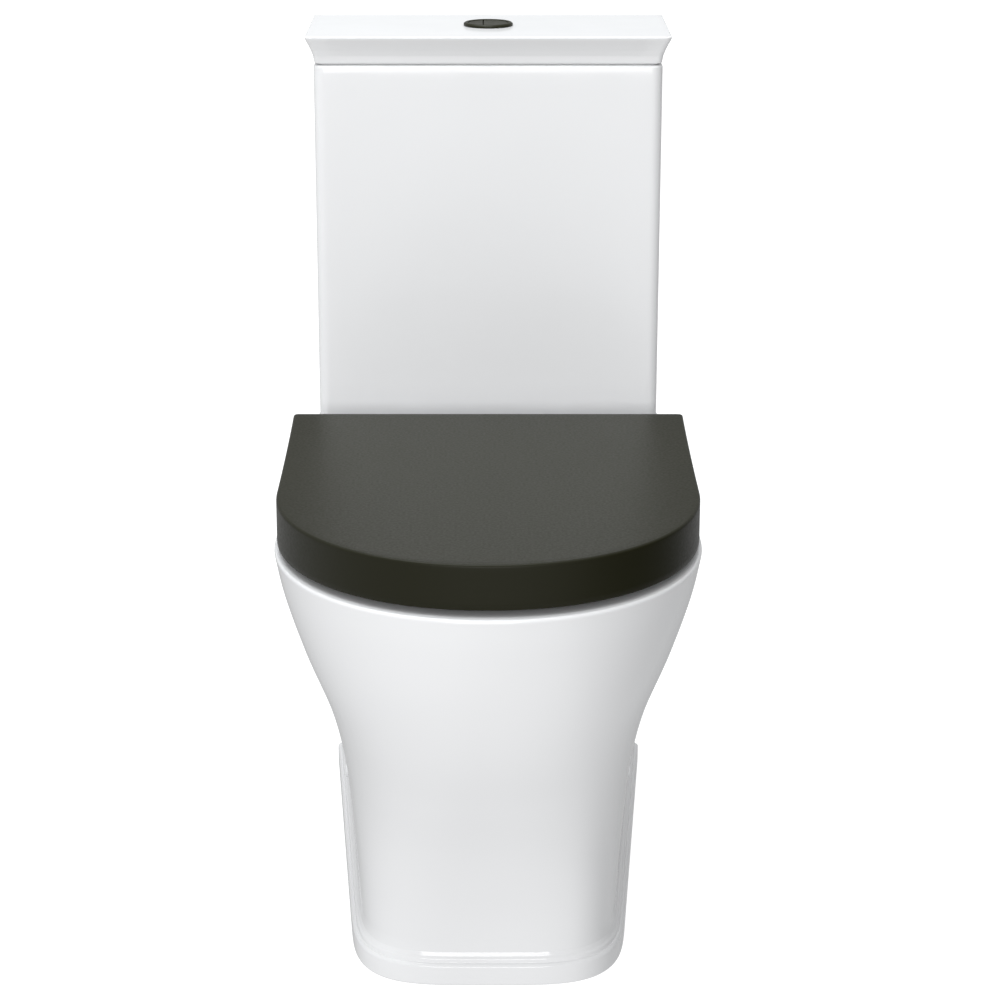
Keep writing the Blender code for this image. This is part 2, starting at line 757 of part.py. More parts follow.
def seat_hinges():
    for side, word in ((-1, "l"), (1, "r")):
        x = side * HINGE_X
        centre = (x, HINGE_Y)
        ring("hinge_base_" + word, centre, 0.0043, 0.013, DECK_Z + GAP, HINGE_BASE_TOP, ZINC)
        pillar = box(
            "hinge_pillar_" + word,
            (x - PILLAR_HALF, HINGE_Y - PILLAR_HALF_DEPTH, HINGE_BASE_TOP + GAP),
            (x + PILLAR_HALF, HINGE_Y + PILLAR_HALF_DEPTH, HINGE_Z),
            ZINC,
        )
        start = (x - PILLAR_HALF, HINGE_Y, HINGE_Z)
        end = (x + PILLAR_HALF, HINGE_Y, HINGE_Z)
        join(pillar, cylinder("barrel_" + word, start, end, BARREL_RADIUS))
        cut(pillar, pin_hole("barrel_hole_" + word, side, 0.060, 0.095))
        cylinder(
            "hinge_damper_" + word,
            (side * 0.0480, HINGE_Y, HINGE_Z),
            (side * 0.1015, HINGE_Y, HINGE_Z),
            PIN_RADIUS,
            STEEL,
        )
        cylinder("hinge_stud_" + word, (*centre, 0.365), (*centre, 0.4075), PIN_RADIUS, STEEL, sides=16)
        ring("hinge_nut_" + word, centre, 0.0050, 0.0125, 0.380, NUT_TOP, NUT_PLASTIC, sides=6)


def buffers():
    for side, word in ((-1, "l"), (1, "r")):
        for place, x, distance in RING_BUFFERS:
            profile = (
                (0.0, RING_Z - GAP),
                (0.0095, RING_Z - GAP),
                (0.0095, 0.4060),
                (0.0075, DECK_Z + GAP),
                (0.0, DECK_Z + GAP),
            )
            centre = (side * x, from_wall(distance))
            turned("ring_buffer_" + place + "_" + word, profile, centre, BUFFER_RUBBER, sides=16)
        profile = (
            (0.0, SEAT_PLATE - GAP),
            (0.006, SEAT_PLATE - GAP),
            (0.006, 0.4412),
            (0.005, RING_TOP + GAP),
            (0.0, RING_TOP + GAP),
        )
        centre = (side * LID_BUFFER_X, from_wall(LID_BUFFER_LINE))
        turned("lid_buffer_" + word, profile, centre, BUFFER_RUBBER, sides=16)


# ---- Flush buttons ----
def button_collar():
    profile = (
        (0.0, STEM_END + COLLAR_FLOOR),
        (STEM_BORE, STEM_END + COLLAR_FLOOR),
        (STEM_BORE, COLLAR_TOP - 0.0005),
        (STEM_BORE + 0.0005, COLLAR_TOP),
        (BEZEL_RADIUS - 0.0008, COLLAR_TOP),
        (BEZEL_RADIUS, COLLAR_TOP - 0.0008),
        (BEZEL_RADIUS, LID_TOP + GAP),
        (STEM_RADIUS, LID_TOP + GAP),
        (STEM_RADIUS, STEM_END),
        (0.0, STEM_END),
    )
    made = turned("button_collar", profile, (0.0, VALVE_Y), BUTTON_PLASTIC, sides=32)
    for word, side in (("full", 1), ("half", -1)):
        rod = (side * ROD_X, VALVE_Y - side * ROD_Y)
        cut(made, cylinder("guide_hole_" + word, (*rod, 0.76), (*rod, 0.78), ROD_RADIUS + 0.0006, sides=12))
    bore = STEM_RADIUS + 0.0005
    ring("collar_nut", (0.0, VALVE_Y), bore, COLLAR_NUT_RADIUS, 0.785, LID_PLATE - GAP, NUT_PLASTIC)
    return made


def flush_buttons():
    """The two halves of the button, each with its push rod and return spring."""
    for word, side in (("full", 1), ("half", -1)):
        name = "flush_button_" + word
        base = (0.0, VALVE_Y, BUTTON_BASE)
        top = (0.0, VALVE_Y, BUTTON_TOP)
        button = cylinder(name, base, top, BUTTON_RADIUS, BUTTON_PLASTIC, sides=32)
        edge = SPLIT_X + side * 0.0002
        far = edge - side * 0.06
        low = (min(edge, far), VALVE_Y - 0.03, 0.79)
        high = (max(edge, far), VALVE_Y + 0.03, 0.82)
        cut(button, box("button_split_" + word, low, high))
        rod = (side * ROD_X, VALVE_Y - side * ROD_Y)
        pivot_z = FULL_ROCKER_Z if word == "full" else HALF_ROCKER_Z
        foot = pivot_z + ROCKER_HALF_HEIGHT + LOST_MOTION
        head = BUTTON_BASE - GAP
        cylinder("push_rod_" + word, (*rod, foot), (*rod, head), ROD_RADIUS, VALVE_BLUE, sides=10)
        coil = []
        low_z = STEM_END + COLLAR_FLOOR + SPRING_WIRE + 0.0006
        rise = BUTTON_BASE - 0.0010 - low_z
        for step in range(SPRING_TURNS * SPRING_STEPS + 1):
            angle = math.tau * step / SPRING_STEPS
            coil.append((
                rod[0] + SPRING_RADIUS * math.cos(angle),
                rod[1] + SPRING_RADIUS * math.sin(angle),
                low_z + rise * step / (SPRING_TURNS * SPRING_STEPS),
            ))
        tube("button_spring_" + word, coil, SPRING_WIRE, STEEL, resolution=0)


# ---- Flush valve ----
def flush_valve():
    centre = (0.0, VALVE_Y)
    turned(
        "flush_valve_base",
        (
            (0.0275, 0.4300),
            (0.0275, FLANGE_TOP),
            (0.0400, FLANGE_TOP),
            (0.0400, FLANGE_LOW),
            (0.0300, FLANGE_LOW),
            (0.0300, TAIL_END),
            (0.0245, TAIL_END),
            (0.0245, 0.4300),
        ),
        centre,
        VALVE_PLASTIC,
        sides=20,
    )
    ring("flush_valve_washer", centre, 0.0306, 0.0410, CISTERN_FLOOR + GAP, WASHER_TOP, RUBBER, sides=20)
    ring("flush_valve_backnut", centre, 0.0306, 0.0430, 0.3935, CISTERN_Z - GAP, NUT_PLASTIC, sides=20)
    ring("close_coupling_gasket", centre, 0.0443, 0.0540, RECESS_Z + GAP, CISTERN_Z - GAP, RUBBER, sides=20)
    foot = (FLANGE_TOP + GAP, 0.4305)
    cage = ring("valve_cage", centre, CAGE_INNER, CAGE_OUTER, *foot, VALVE_PLASTIC, sides=20)
    join(cage, ring("cage_head", centre, 0.0220, CAGE_OUTER, CAGE_HEAD_LOW, CAGE_HEAD_TOP, None, sides=20))
    for corner in range(4):
        angle = math.radians(45 + 90 * corner)
        x = POST_CIRCLE * math.cos(angle)
        y = VALVE_Y + POST_CIRCLE * math.sin(angle)
        low = (x - POST_HALF, y - POST_HALF, 0.428)
        high = (x + POST_HALF, y + POST_HALF, CAGE_HEAD_LOW + 0.003)
        join(cage, box("cage_post_%d" % corner, low, high))
    for word, side, pivot_z in (("full", 1, FULL_ROCKER_Z), ("half", -1, HALF_ROCKER_Z)):
        near = VALVE_Y - side * LUG_Y
        far = near - side * LUG_THICKNESS
        low = (-0.026, min(near, far), CAGE_HEAD_TOP - 0.002)
        high = (0.026, max(near, far), 0.7185)
        join(cage, box("rocker_lug_" + word, low, high))
        start = (-side * ROCKER_X, near + side * 0.002, pivot_z)
        end = (-side * ROCKER_X, far - side * 0.002, pivot_z)
        cut(cage, cylinder("rocker_hole_" + word, start, end, PIVOT_HOLE, sides=12))
        rocker(word, side, pivot_z)
    overflow_tube(centre)


def rocker(word, side, pivot_z):
    """A lever: the push rod presses one end, and the other lifts the yoke of the overflow tube."""
    pivot_x = -side * ROCKER_X
    ends = (pivot_x + side * ROCKER_REACH, pivot_x - side * ROCKER_TAIL)
    near = VALVE_Y - side * ROCKER_NEAR
    far = VALVE_Y - side * ROCKER_FAR
    made = box(
        "rocker_" + word,
        (min(ends), min(near, far), pivot_z - ROCKER_HALF_HEIGHT),
        (max(ends), max(near, far), pivot_z + ROCKER_HALF_HEIGHT),
        VALVE_BLUE,
    )
    start = (pivot_x, far + side * 0.001, pivot_z)
    end = (pivot_x, far - side * 0.0030, pivot_z)
    join(made, cylinder("rocker_pin_" + word, start, end, PIVOT_PIN, sides=12))


def overflow_tube(centre):
    made = turned(
        "overflow_tube",
        (
            (NECK_RADIUS, YOKE_Z + 0.002),
            (NECK_RADIUS, 0.6740),
            (TUBE_RADIUS, 0.6680),
            (TUBE_RADIUS, 0.4366),
            (0.0260, 0.4366),
            (0.0260, 0.4336),
            (TUBE_BORE, 0.4336),
            (TUBE_BORE, 0.6650),
            (NECK_BORE, 0.6730),
            (NECK_BORE, YOKE_Z + 0.002),
        ),
        centre,
        VALVE_BLUE,
    )
    reach = Vector((0.019, 0.0125, 0.0)).normalized()
    across = Vector((-reach.y, reach.x, 0.0)) * YOKE_HALF
    ends = [
        Vector((*centre, 0.0)) + reach * YOKE_REACH * sign + across * side
        for sign, side in ((1, 1), (-1, 1), (-1, -1), (1, -1))
    ]
    heights = (YOKE_Z, YOKE_Z + YOKE_THICKNESS)
    yoke = loft("yoke", [[(point.x, point.y, height) for point in ends] for height in heights])
    mouth = cylinder("overflow_mouth", (*centre, 0.70), (*centre, 0.73), NECK_BORE, sides=24)
    join(made, yoke)
    cut(made, mouth)
    ring("valve_seal", centre, 0.0130, 0.0272, 0.4303, 0.4333, RUBBER, sides=20)


# ---- Fill valve ----
def fill_valve():
    centre = (FILL_X, VALVE_Y)
    turned(
        "fill_valve_stem",
        (
            (0.0, FILL_STEM_TOP),
            (FILL_STEM, FILL_STEM_TOP),
            (FILL_STEM, FLANGE_TOP),
            (0.0160, FLANGE_TOP),
            (0.0160, FLANGE_LOW),
            (0.0102, FLANGE_LOW),
            (0.0102, TAIL_END),
            (FILL_BORE, TAIL_END),
            (FILL_BORE, FILL_STEM_TOP - 0.020),
            (0.0, FILL_STEM_TOP - 0.020),
        ),
        centre,
        BRASS,
    )
    ring("fill_valve_washer", centre, 0.0107, 0.0170, CISTERN_FLOOR + GAP, WASHER_TOP, RUBBER)
    ring("fill_valve_backnut", centre, 0.0124, 0.0185, 0.3955, CISTERN_Z - GAP, BRASS, sides=6)
    head = turned(
        "fill_valve_head",
        (
            (0.0, HEAD_TOP),
            (HEAD_RADIUS - 0.002, HEAD_TOP),
            (HEAD_RADIUS, HEAD_TOP - 0.003),
            (HEAD_RADIUS, FILL_STEM_TOP + GAP),
            (0.0, FILL_STEM_TOP + GAP),
        ),
        centre,
        VALVE_PLASTIC,
    )
    for side, word in ((-1, "l"), (1, "r")):
        near = FILL_X + side * 0.0034
        far = FILL_X + side * 0.0060
        low = (min(near, far), VALVE_Y - 0.005, HEAD_TOP - 0.002)
        high = (max(near, far), VALVE_Y + 0.005, 0.728)
        join(head, box("head_lug_" + word, low, high))
    pivot = ((FILL_X - 0.02, VALVE_Y, FLOAT_PIVOT_Z), (FILL_X + 0.02, VALVE_Y, FLOAT_PIVOT_Z))
    cut(head, cylinder("head_pin_hole", *pivot, PIVOT_HOLE, sides=12))
    lever = box(
        "float_lever",
        (FILL_X - LEVER_HALF, VALVE_Y - FLOAT_LINK_Y - 0.0025, FLOAT_PIVOT_Z - LEVER_HALF_HEIGHT),
        (FILL_X + LEVER_HALF, VALVE_Y + 0.0100, FLOAT_PIVOT_Z + LEVER_HALF_HEIGHT),
        VALVE_PLASTIC,
    )
    pin = ((FILL_X - 0.0058, VALVE_Y, FLOAT_PIVOT_Z), (FILL_X + 0.0058, VALVE_Y, FLOAT_PIVOT_Z))
    join(lever, cylinder("lever_pin", *pin, PIVOT_PIN, sides=12))
    turned(
        "fill_valve_float",
        (
            (FLOAT_RADIUS - 0.001, FLOAT_TOP),
            (FLOAT_RADIUS, FLOAT_TOP - 0.004),
            (FLOAT_RADIUS, FLOAT_LOW),
            (FLOAT_BORE, FLOAT_LOW),
            (FLOAT_BORE, FLOAT_TOP),
        ),
        centre,
        VALVE_BLUE,
    )
    link = (FILL_X, VALVE_Y - FLOAT_LINK_Y)
    link_top = FLOAT_PIVOT_Z - LEVER_HALF_HEIGHT - LOST_MOTION
    cylinder("float_link", (*link, FLOAT_TOP + GAP), (*link, link_top), LINK_RADIUS, VALVE_PLASTIC, sides=10)


# ---- Fixings ----
def cistern_bolts():
    for side, word in ((-1, "l"), (1, "r")):
        centre = (side * BOLT_X, VALVE_Y)
        low = CISTERN_FLOOR + GAP
        ring("bolt_washer_" + word, centre, 0.0044, 0.0120, low, WASHER_TOP, RUBBER, sides=16)
        profile = (
            (0.0, 0.4270),
            (0.0085, 0.4270),
            (0.0095, 0.4260),
            (0.0095, FLANGE_LOW),
            (0.0040, FLANGE_LOW),
            (0.0040, 0.3600),
            (0.0, 0.3600),
        )
        turned("cistern_bolt_" + word, profile, centre, STEEL, sides=12)
        nut = ring("wing_nut_" + word, centre, 0.0044, 0.0080, 0.3800, NUT_TOP, NUT_PLASTIC, sides=16)
        for ahead, place in ((-1, "front"), (1, "back")):
            near = VALVE_Y + ahead * 0.0065
            far = VALVE_Y + ahead * 0.0180
            low = (centre[0] - 0.0015, min(near, far), 0.3780)
            high = (centre[0] + 0.0015, max(near, far), 0.3880)
            join(nut, box("wing_" + place + "_" + word, low, high))


def half_width_at(height, distance):
    """The pan's half width, read from the straight part of its outline."""
    outline = pan_outline(height)
    for (x, start), (next_x, end) in zip(outline, outline[1:]):
        if start <= distance <= end:
            return x + (next_x - x) * (distance - start) / (end - start)
    return outline[0][0]


def floor_fixings():
    """Angle brackets on the floor inside the skirt, with a screw through the skirt under a push-on cap."""
    skin = half_width_at(FIXING_Z, FIXING_LINE)
    y = from_wall(FIXING_LINE)
    for side, word in ((-1, "l"), (1, "r")):

        def at(x):
            return (side * x, y, FIXING_Z)

        def bracket_box(name, near, far, low, high, finish=None):
            ends = sorted((side * near, side * far))
            return box(name, (ends[0], y - BRACKET_HALF, low), (ends[1], y + BRACKET_HALF, high), finish)

        plate = skin - CHINA - 0.003
        inner = plate - BRACKET_STEEL
        bracket = bracket_box("floor_bracket_" + word, inner, plate, 0.0, BRACKET_TOP, ZINC)
        sole = bracket_box("bracket_foot_" + word, plate - BRACKET_REACH, plate - 0.001, 0.0, BRACKET_STEEL)
        join(bracket, sole)
        foot = (side * (plate - 0.022), y)
        cut(
            bracket,
            cylinder("bracket_hole_" + word, at(plate - 0.02), at(plate + 0.02), 0.0034, sides=12),
            cylinder("floor_screw_hole_" + word, (*foot, -0.01), (*foot, 0.01), 0.0035, sides=12),
        )
        tip = at(plate - 0.010)
        screw = cylinder("side_screw_" + word, tip, at(skin - 0.0055), SCREW_RADIUS, STEEL, sides=12)
        join(screw, cylinder("screw_head_" + word, at(skin - 0.0060), at(skin - 0.0025), 0.0052, sides=12))
        face = at(skin + 0.0036)
        cap = cylinder("cover_cap_" + word, at(skin + 0.0010), face, CAP_RADIUS, CAP_PLASTIC, sides=20)
        join(cap, cylinder("cap_plug_" + word, at(skin - 0.0015), at(skin + 0.0020), 0.0050, sides=16))


pan()
cistern()
cistern_lid()
seat_lid()
seat_ring()
seat_hinges()
buffers()
button_collar()
flush_buttons()
flush_valve()
fill_valve()
cistern_bolts()
floor_fixings()
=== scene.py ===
"""The looks of a close coupled toilet: glazed china, a wrap-over seat and fittings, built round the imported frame.

Metres, +Z up. The user faces -Y, the wall stands at y = WALL_Y, and distances along Y are given out from the wall.
"""

import json
import math

import bmesh
import bpy
from mathutils import Matrix, Vector

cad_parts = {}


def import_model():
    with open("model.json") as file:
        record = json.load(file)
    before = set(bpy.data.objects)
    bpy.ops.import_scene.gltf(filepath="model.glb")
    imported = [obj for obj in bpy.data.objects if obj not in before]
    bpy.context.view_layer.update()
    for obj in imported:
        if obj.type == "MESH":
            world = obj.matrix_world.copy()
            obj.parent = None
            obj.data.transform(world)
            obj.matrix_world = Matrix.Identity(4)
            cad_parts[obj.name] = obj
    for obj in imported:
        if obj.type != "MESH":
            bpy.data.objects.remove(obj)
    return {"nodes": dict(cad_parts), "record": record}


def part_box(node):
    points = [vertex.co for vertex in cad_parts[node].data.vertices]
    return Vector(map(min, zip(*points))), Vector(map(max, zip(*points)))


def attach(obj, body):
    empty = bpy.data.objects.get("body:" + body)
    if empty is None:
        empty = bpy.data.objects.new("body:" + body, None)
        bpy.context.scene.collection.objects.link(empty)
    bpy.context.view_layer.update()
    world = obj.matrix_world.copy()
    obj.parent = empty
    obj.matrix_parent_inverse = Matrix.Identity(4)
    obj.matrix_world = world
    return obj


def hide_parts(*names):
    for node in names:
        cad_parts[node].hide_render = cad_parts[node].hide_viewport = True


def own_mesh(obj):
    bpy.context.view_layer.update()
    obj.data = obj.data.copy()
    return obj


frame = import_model()
scene = bpy.context.scene
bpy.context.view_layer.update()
nodes = frame["nodes"]


# ---- Places read from the frame ----
PAN_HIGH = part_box("pan")[1]
CISTERN_LOW, CISTERN_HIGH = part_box("cistern")
LID_LOW, LID_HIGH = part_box("cistern_lid")
SEAT_LOW, SEAT_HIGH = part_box("seat_lid")
PILLAR_LOW, PILLAR_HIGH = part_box("hinge_pillar_r")
COLLAR_LOW, COLLAR_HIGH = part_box("button_collar")

WALL_Y = PAN_HIGH.y
DECK_Z = PAN_HIGH.z

# ---- Pan ----
CHINA = 0.011
DECK_THICKNESS = 0.012
# height, half width at the wall, half width at the shoulder, shoulder, front, squareness, straightness
PAN_SECTIONS = (
    (0.030, 0.1545, 0.1220, 0.395, 0.5142, 4.10, 1.00),
    (0.080, 0.1555, 0.1240, 0.399, 0.5250, 3.80, 1.00),
    (0.140, 0.1570, 0.1280, 0.406, 0.5490, 3.20, 1.00),
    (0.200, 0.1595, 0.1339, 0.416, 0.5870, 2.75, 0.90),
    (0.260, 0.1630, 0.1457, 0.426, 0.6255, 2.50, 0.70),
    (0.320, 0.1665, 0.1666, 0.438, 0.6510, 2.30, 0.40),
    (0.370, 0.1700, 0.1827, 0.447, 0.6615, 2.15, 0.15),
    (DECK_Z, 0.1720, 0.1898, 0.4524, 0.6640, 2.10, 0.00),
)
# height, centre, half width and half length of the bowl's inside
BOWL_SECTIONS = (
    (0.130, 0.402, 0.036, 0.040),
    (0.170, 0.412, 0.055, 0.062),
    (0.220, 0.425, 0.082, 0.092),
    (0.280, 0.440, 0.114, 0.127),
    (0.340, 0.450, 0.137, 0.154),
    (0.380, 0.452, 0.142, 0.163),
    (DECK_Z + 0.002, 0.452, 0.138, 0.160),
)
BOWL_WALL = 0.011
TRAP_BEND = 0.055
TRAP_DIP = (0.345, 0.165)
TRAP_WEIR = (0.235, 0.190)
TRAP_BORE = 0.036
TRAP_WALL = 0.010
OUTLET_RADIUS = 0.051
OUTLET_END = 0.055
OUTLET_Z = 0.180
CHANNEL_HALF = 0.036
CHANNEL_LOW = 0.350
CHANNEL_HIGH = 0.378
CHANNEL_END = 0.310
RECESS_RADIUS = 0.056
RECESS_Z = 0.390
FLUSH_HOLE = 0.035
SUPPLY_HOLE = 0.023

# ---- Cistern ----
CISTERN_HALF = CISTERN_HIGH.x
CISTERN_BACK = WALL_Y - CISTERN_HIGH.y
CISTERN_FRONT = WALL_Y - CISTERN_LOW.y
CISTERN_Z = CISTERN_LOW.z
CISTERN_TOP = CISTERN_HIGH.z
CISTERN_WALL = 0.009
CISTERN_FLOOR = CISTERN_Z + 0.010
LID_HALF = LID_HIGH.x
LID_BACK = WALL_Y - LID_HIGH.y
LID_FRONT = WALL_Y - LID_LOW.y
LID_TOP = LID_HIGH.z
LID_FOOT = LID_LOW.z
LID_PLATE = 0.795
VALVE_Y = (COLLAR_LOW.y + COLLAR_HIGH.y) / 2
VALVE_LINE = WALL_Y - VALVE_Y
BOLT_X = 0.075
FILL_X = 0.118

# ---- Seat ----
SEAT_BACK = WALL_Y - SEAT_HIGH.y
SEAT_BACK_HALF = SEAT_HIGH.x
SEAT_HALF = 0.1867
SEAT_SHOULDER = 0.4524
SEAT_FRONT = WALL_Y - SEAT_LOW.y
SEAT_SQUARENESS = 2.1
SEAT_TOP = SEAT_HIGH.z
SKIRT_Z = 0.410
SKIRT_WALL = 0.005
SEAT_PLATE = 0.444
RING_INSET = 0.0085
RING_BACK = 0.243
RING_Z = 0.4155
RING_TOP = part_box("seat_ring")[1].z
OPENING_LINE = 0.437
OPENING_HALF = 0.108
OPENING_LENGTH = 0.142
HINGE_LINE = 0.222
HINGE_Y = WALL_Y - HINGE_LINE
HINGE_Z = 0.432
HINGE_X = (PILLAR_LOW.x + PILLAR_HIGH.x) / 2
PILLAR_HALF = (PILLAR_HIGH.x - PILLAR_LOW.x) / 2
PIN_HOLE = 0.0043
BEHIND_SEAT = 0.190

# ---- Flush buttons ----
STEM_RADIUS = 0.022
BEZEL_RADIUS = COLLAR_HIGH.x
STEM_BORE = 0.0196
STEM_END = COLLAR_LOW.z
SPLIT_X = -0.0048
BUTTON_RADIUS = 0.0192
SPRING_RADIUS = 0.0027
SPRING_WIRE = 0.0003
SPRING_TURNS = 5
SPRING_STEPS = 32


# ---- Materials ----
# the values that most of a noise lies between
NOISE_SPREAD = (0.3, 0.7)


class Finish:
    """A node material in the making: the shader, the object coordinates and short ways to add textures."""

    def __init__(self, name, colour, roughness, metallic=0.0):
        self.material = bpy.data.materials.new(name)
        self.material.use_nodes = True
        self.tree = self.material.node_tree
        self.shader = self.tree.nodes["Principled BSDF"]
        self.set("Base Color", (*colour, 1.0))
        self.set("Roughness", roughness)
        self.set("Metallic", metallic)
        self.place = self.node("ShaderNodeTexCoord").outputs["Object"]

    def node(self, kind, **inputs):
        made = self.tree.nodes.new(kind)
        for name, value in inputs.items():
            made.inputs[name.replace("_", " ")].default_value = value
        return made

    def link(self, source, target):
        self.tree.links.new(source, target)

    def set(self, socket, value):
        self.shader.inputs[socket].default_value = value

    def noise(self, scale, detail=3.0, stretch=None):
        """A noise whose grains are 1 / scale metres across."""
        texture = self.node("ShaderNodeTexNoise", Scale=scale, Detail=detail)
        source = self.place
        if stretch:
            mapping = self.node("ShaderNodeMapping", Scale=stretch)
            self.link(source, mapping.inputs["Vector"])
            source = mapping.outputs["Vector"]
        self.link(source, texture.inputs["Vector"])
        return texture.outputs["Fac"]

    def colour(self, value, dark, light):
        """Carries the spread of a noise to the colours from dark to light."""
        ramp = self.node("ShaderNodeValToRGB")
        for element, position, tone in zip(ramp.color_ramp.elements, NOISE_SPREAD, (dark, light)):
            element.position = position
            element.color = (*tone, 1.0)
        self.link(value, ramp.inputs["Fac"])
        self.link(ramp.outputs["Color"], self.shader.inputs["Base Color"])

    def rough(self, value, low, high):
        """Carries the spread of a noise to the roughnesses from low to high."""
        start, end = NOISE_SPREAD
        fit = self.node("ShaderNodeMapRange", From_Min=start, From_Max=end, To_Min=low, To_Max=high)
        self.link(value, fit.inputs["Value"])
        self.link(fit.outputs["Result"], self.shader.inputs["Roughness"])

    def bump(self, layers):
        """Height textures, each with its depth in metres, one bump after the other."""
        normal = None
        for value, depth in layers:
            bump = self.node("ShaderNodeBump", Strength=1.0, Distance=depth)
            self.link(value, bump.inputs["Height"])
            if normal:
                self.link(normal, bump.inputs["Normal"])
            normal = bump.outputs["Normal"]
        self.link(normal, self.shader.inputs["Normal"])


def scaled(colour, factor):
    return tuple(channel * factor for channel in colour)


def glaze(name, colour):
    """Vitreous china glaze: clear and glossy, with the slow ripple of the casting and a fine orange peel."""
    made = Finish(name, colour, 0.07)
    made.set("IOR", 1.52)
    made.colour(made.noise(5.0, detail=2.0), scaled(colour, 0.985), scaled(colour, 1.01))
    made.rough(made.noise(28.0), 0.055, 0.11)
    made.bump(((made.noise(190.0, detail=2.0), 0.000006),))
    return made.material


def raw_china(name):
    """Fired but unglazed china: dry, faintly warm, with sponge marks and fine grit."""
    made = Finish(name, (0.66, 0.64, 0.60), 0.72)
    made.colour(made.noise(24.0, detail=5.0), (0.58, 0.565, 0.53), (0.72, 0.705, 0.67))
    made.rough(made.noise(60.0), 0.62, 0.82)
    made.bump(((made.noise(70.0, detail=4.0), 0.0003), (made.noise(900.0), 0.00006)))
    return made.material


def satin_plastic(name, colour, low, high, grain=0.000012):
    """Moulded thermoset plastic: a fine even grain, faint flow clouds and slightly uneven sheen."""
    made = Finish(name, colour, (low + high) / 2)
    made.set("Specular IOR Level", 0.16)
    made.colour(made.noise(7.0, detail=2.0), scaled(colour, 0.97), scaled(colour, 1.03))
    made.rough(made.noise(420.0, detail=4.0), low, high)
    made.bump(((made.noise(1400.0, detail=2.0), grain),))
    return made.material


def rubber(name, colour):
    """Moulded rubber with a dusty bloom."""
    made = Finish(name, colour, 0.8)
    made.colour(made.noise(180.0, detail=5.0), colour, scaled(colour, 1.7))
    made.rough(made.noise(300.0), 0.68, 0.9)
    made.bump(((made.noise(1100.0), 0.00004),))
    return made.material


def metal(name, colour, low, high, stretch=(1.0, 1.0, 14.0), depth=0.000012):
    """Metal with machining marks that run across the stretched axis, and uneven polish."""
    made = Finish(name, colour, (low + high) / 2, 1.0)
    made.colour(made.noise(110.0, detail=4.0), scaled(colour, 0.86), scaled(colour, 1.05))
    lines = made.noise(260.0, detail=3.0, stretch=stretch)
    made.rough(lines, low, high)
    made.bump(((lines, depth),))
    return made.material


WHITE = (0.76, 0.762, 0.768)
OLIVE = (0.0105, 0.0105, 0.0036)
CHINA_GLAZE = glaze("china_glaze", WHITE)
CISTERN_GLAZE = glaze("cistern_china_glaze", WHITE)
LID_GLAZE = glaze("lid_china_glaze", WHITE)
RAW_CHINA = raw_china("unglazed_china")
SEAT_PLASTIC = satin_plastic("seat_lid_thermoset", OLIVE, 0.36, 0.46)
RING_PLASTIC = satin_plastic("seat_ring_thermoset", OLIVE, 0.34, 0.44)
BUTTON_PLASTIC = satin_plastic("button_satin", scaled(OLIVE, 1.15), 0.30, 0.40)
VALVE_WHITE = satin_plastic("valve_white_acetal", (0.76, 0.76, 0.73), 0.38, 0.52)
VALVE_BLUE = satin_plastic("valve_blue_acetal", (0.075, 0.19, 0.43), 0.36, 0.50)
NUT_PLASTIC = satin_plastic("nut_nylon", (0.13, 0.13, 0.135), 0.48, 0.62, 0.00004)
CAP_PLASTIC = satin_plastic("cap_white_plastic", (0.78, 0.785, 0.79), 0.18, 0.28)
BLACK_RUBBER = rubber("black_rubber", (0.016, 0.016, 0.016))
GREY_RUBBER = rubber("buffer_rubber", (0.075, 0.075, 0.070))
STEEL = metal("stainless_steel", (0.60, 0.60, 0.585), 0.20, 0.38)
BRASS = metal("brass", (0.74, 0.55, 0.26), 0.22, 0.40)
ZINC = metal("zinc_plate", (0.52, 0.53, 0.55), 0.32, 0.50, (1.0, 1.0, 1.0), 0.00002)

FINISHES = {
    "white_glaze": CHINA_GLAZE, "cistern_glaze": CISTERN_GLAZE, "lid_glaze": LID_GLAZE,
    "seat_lid_plastic": SEAT_PLASTIC, "seat_ring_plastic": RING_PLASTIC,
    "button_plastic": BUTTON_PLASTIC, "valve_white": VALVE_WHITE, "valve_blue": VALVE_BLUE,
    "nut_plastic": NUT_PLASTIC, "black_rubber": BLACK_RUBBER, "grey_rubber": GREY_RUBBER,
    "stainless_steel": STEEL, "brass": BRASS, "zinc_plate": ZINC, "cap_plastic": CAP_PLASTIC,
}
SLOTS = {entry["node"]: entry["material_slot"] for entry in frame["record"]["subparts"]}


# ---- Mesh tools ----
SIDES = ((-1, "l"), (1, "r"))
HALVES = (("full", 1), ("half", -1))

pieces = bpy.data.collections.new("fine_pieces")
scene.collection.children.link(pieces)


def from_wall(distance):
    return WALL_Y - distance


def new_object(name, bm, finish):
    bmesh.ops.recalc_face_normals(bm, faces=bm.faces)
    mesh = bpy.data.meshes.new(name)
    bm.to_mesh(mesh)
    bm.free()
    mesh.materials.append(finish)
    made = bpy.data.objects.new(name, mesh)
    pieces.objects.link(made)
    return made


def loft(name, sections, finish, closed=False):
    """Skins sections of equal point counts. A closed loft joins the last section to the first."""
    bm = bmesh.new()
    rows = [[bm.verts.new(point) for point in section] for section in sections]
    pairs = list(zip(rows, rows[1:]))
    if closed:
        pairs.append((rows[-1], rows[0]))
    for lower, upper in pairs:
        for i in range(len(lower)):
            after = (i + 1) % len(lower)
            bm.faces.new((lower[i], lower[after], upper[after], upper[i]))
    if not closed:
        bm.faces.new(rows[0])
        bm.faces.new(rows[-1])
    return new_object(name, bm, finish)


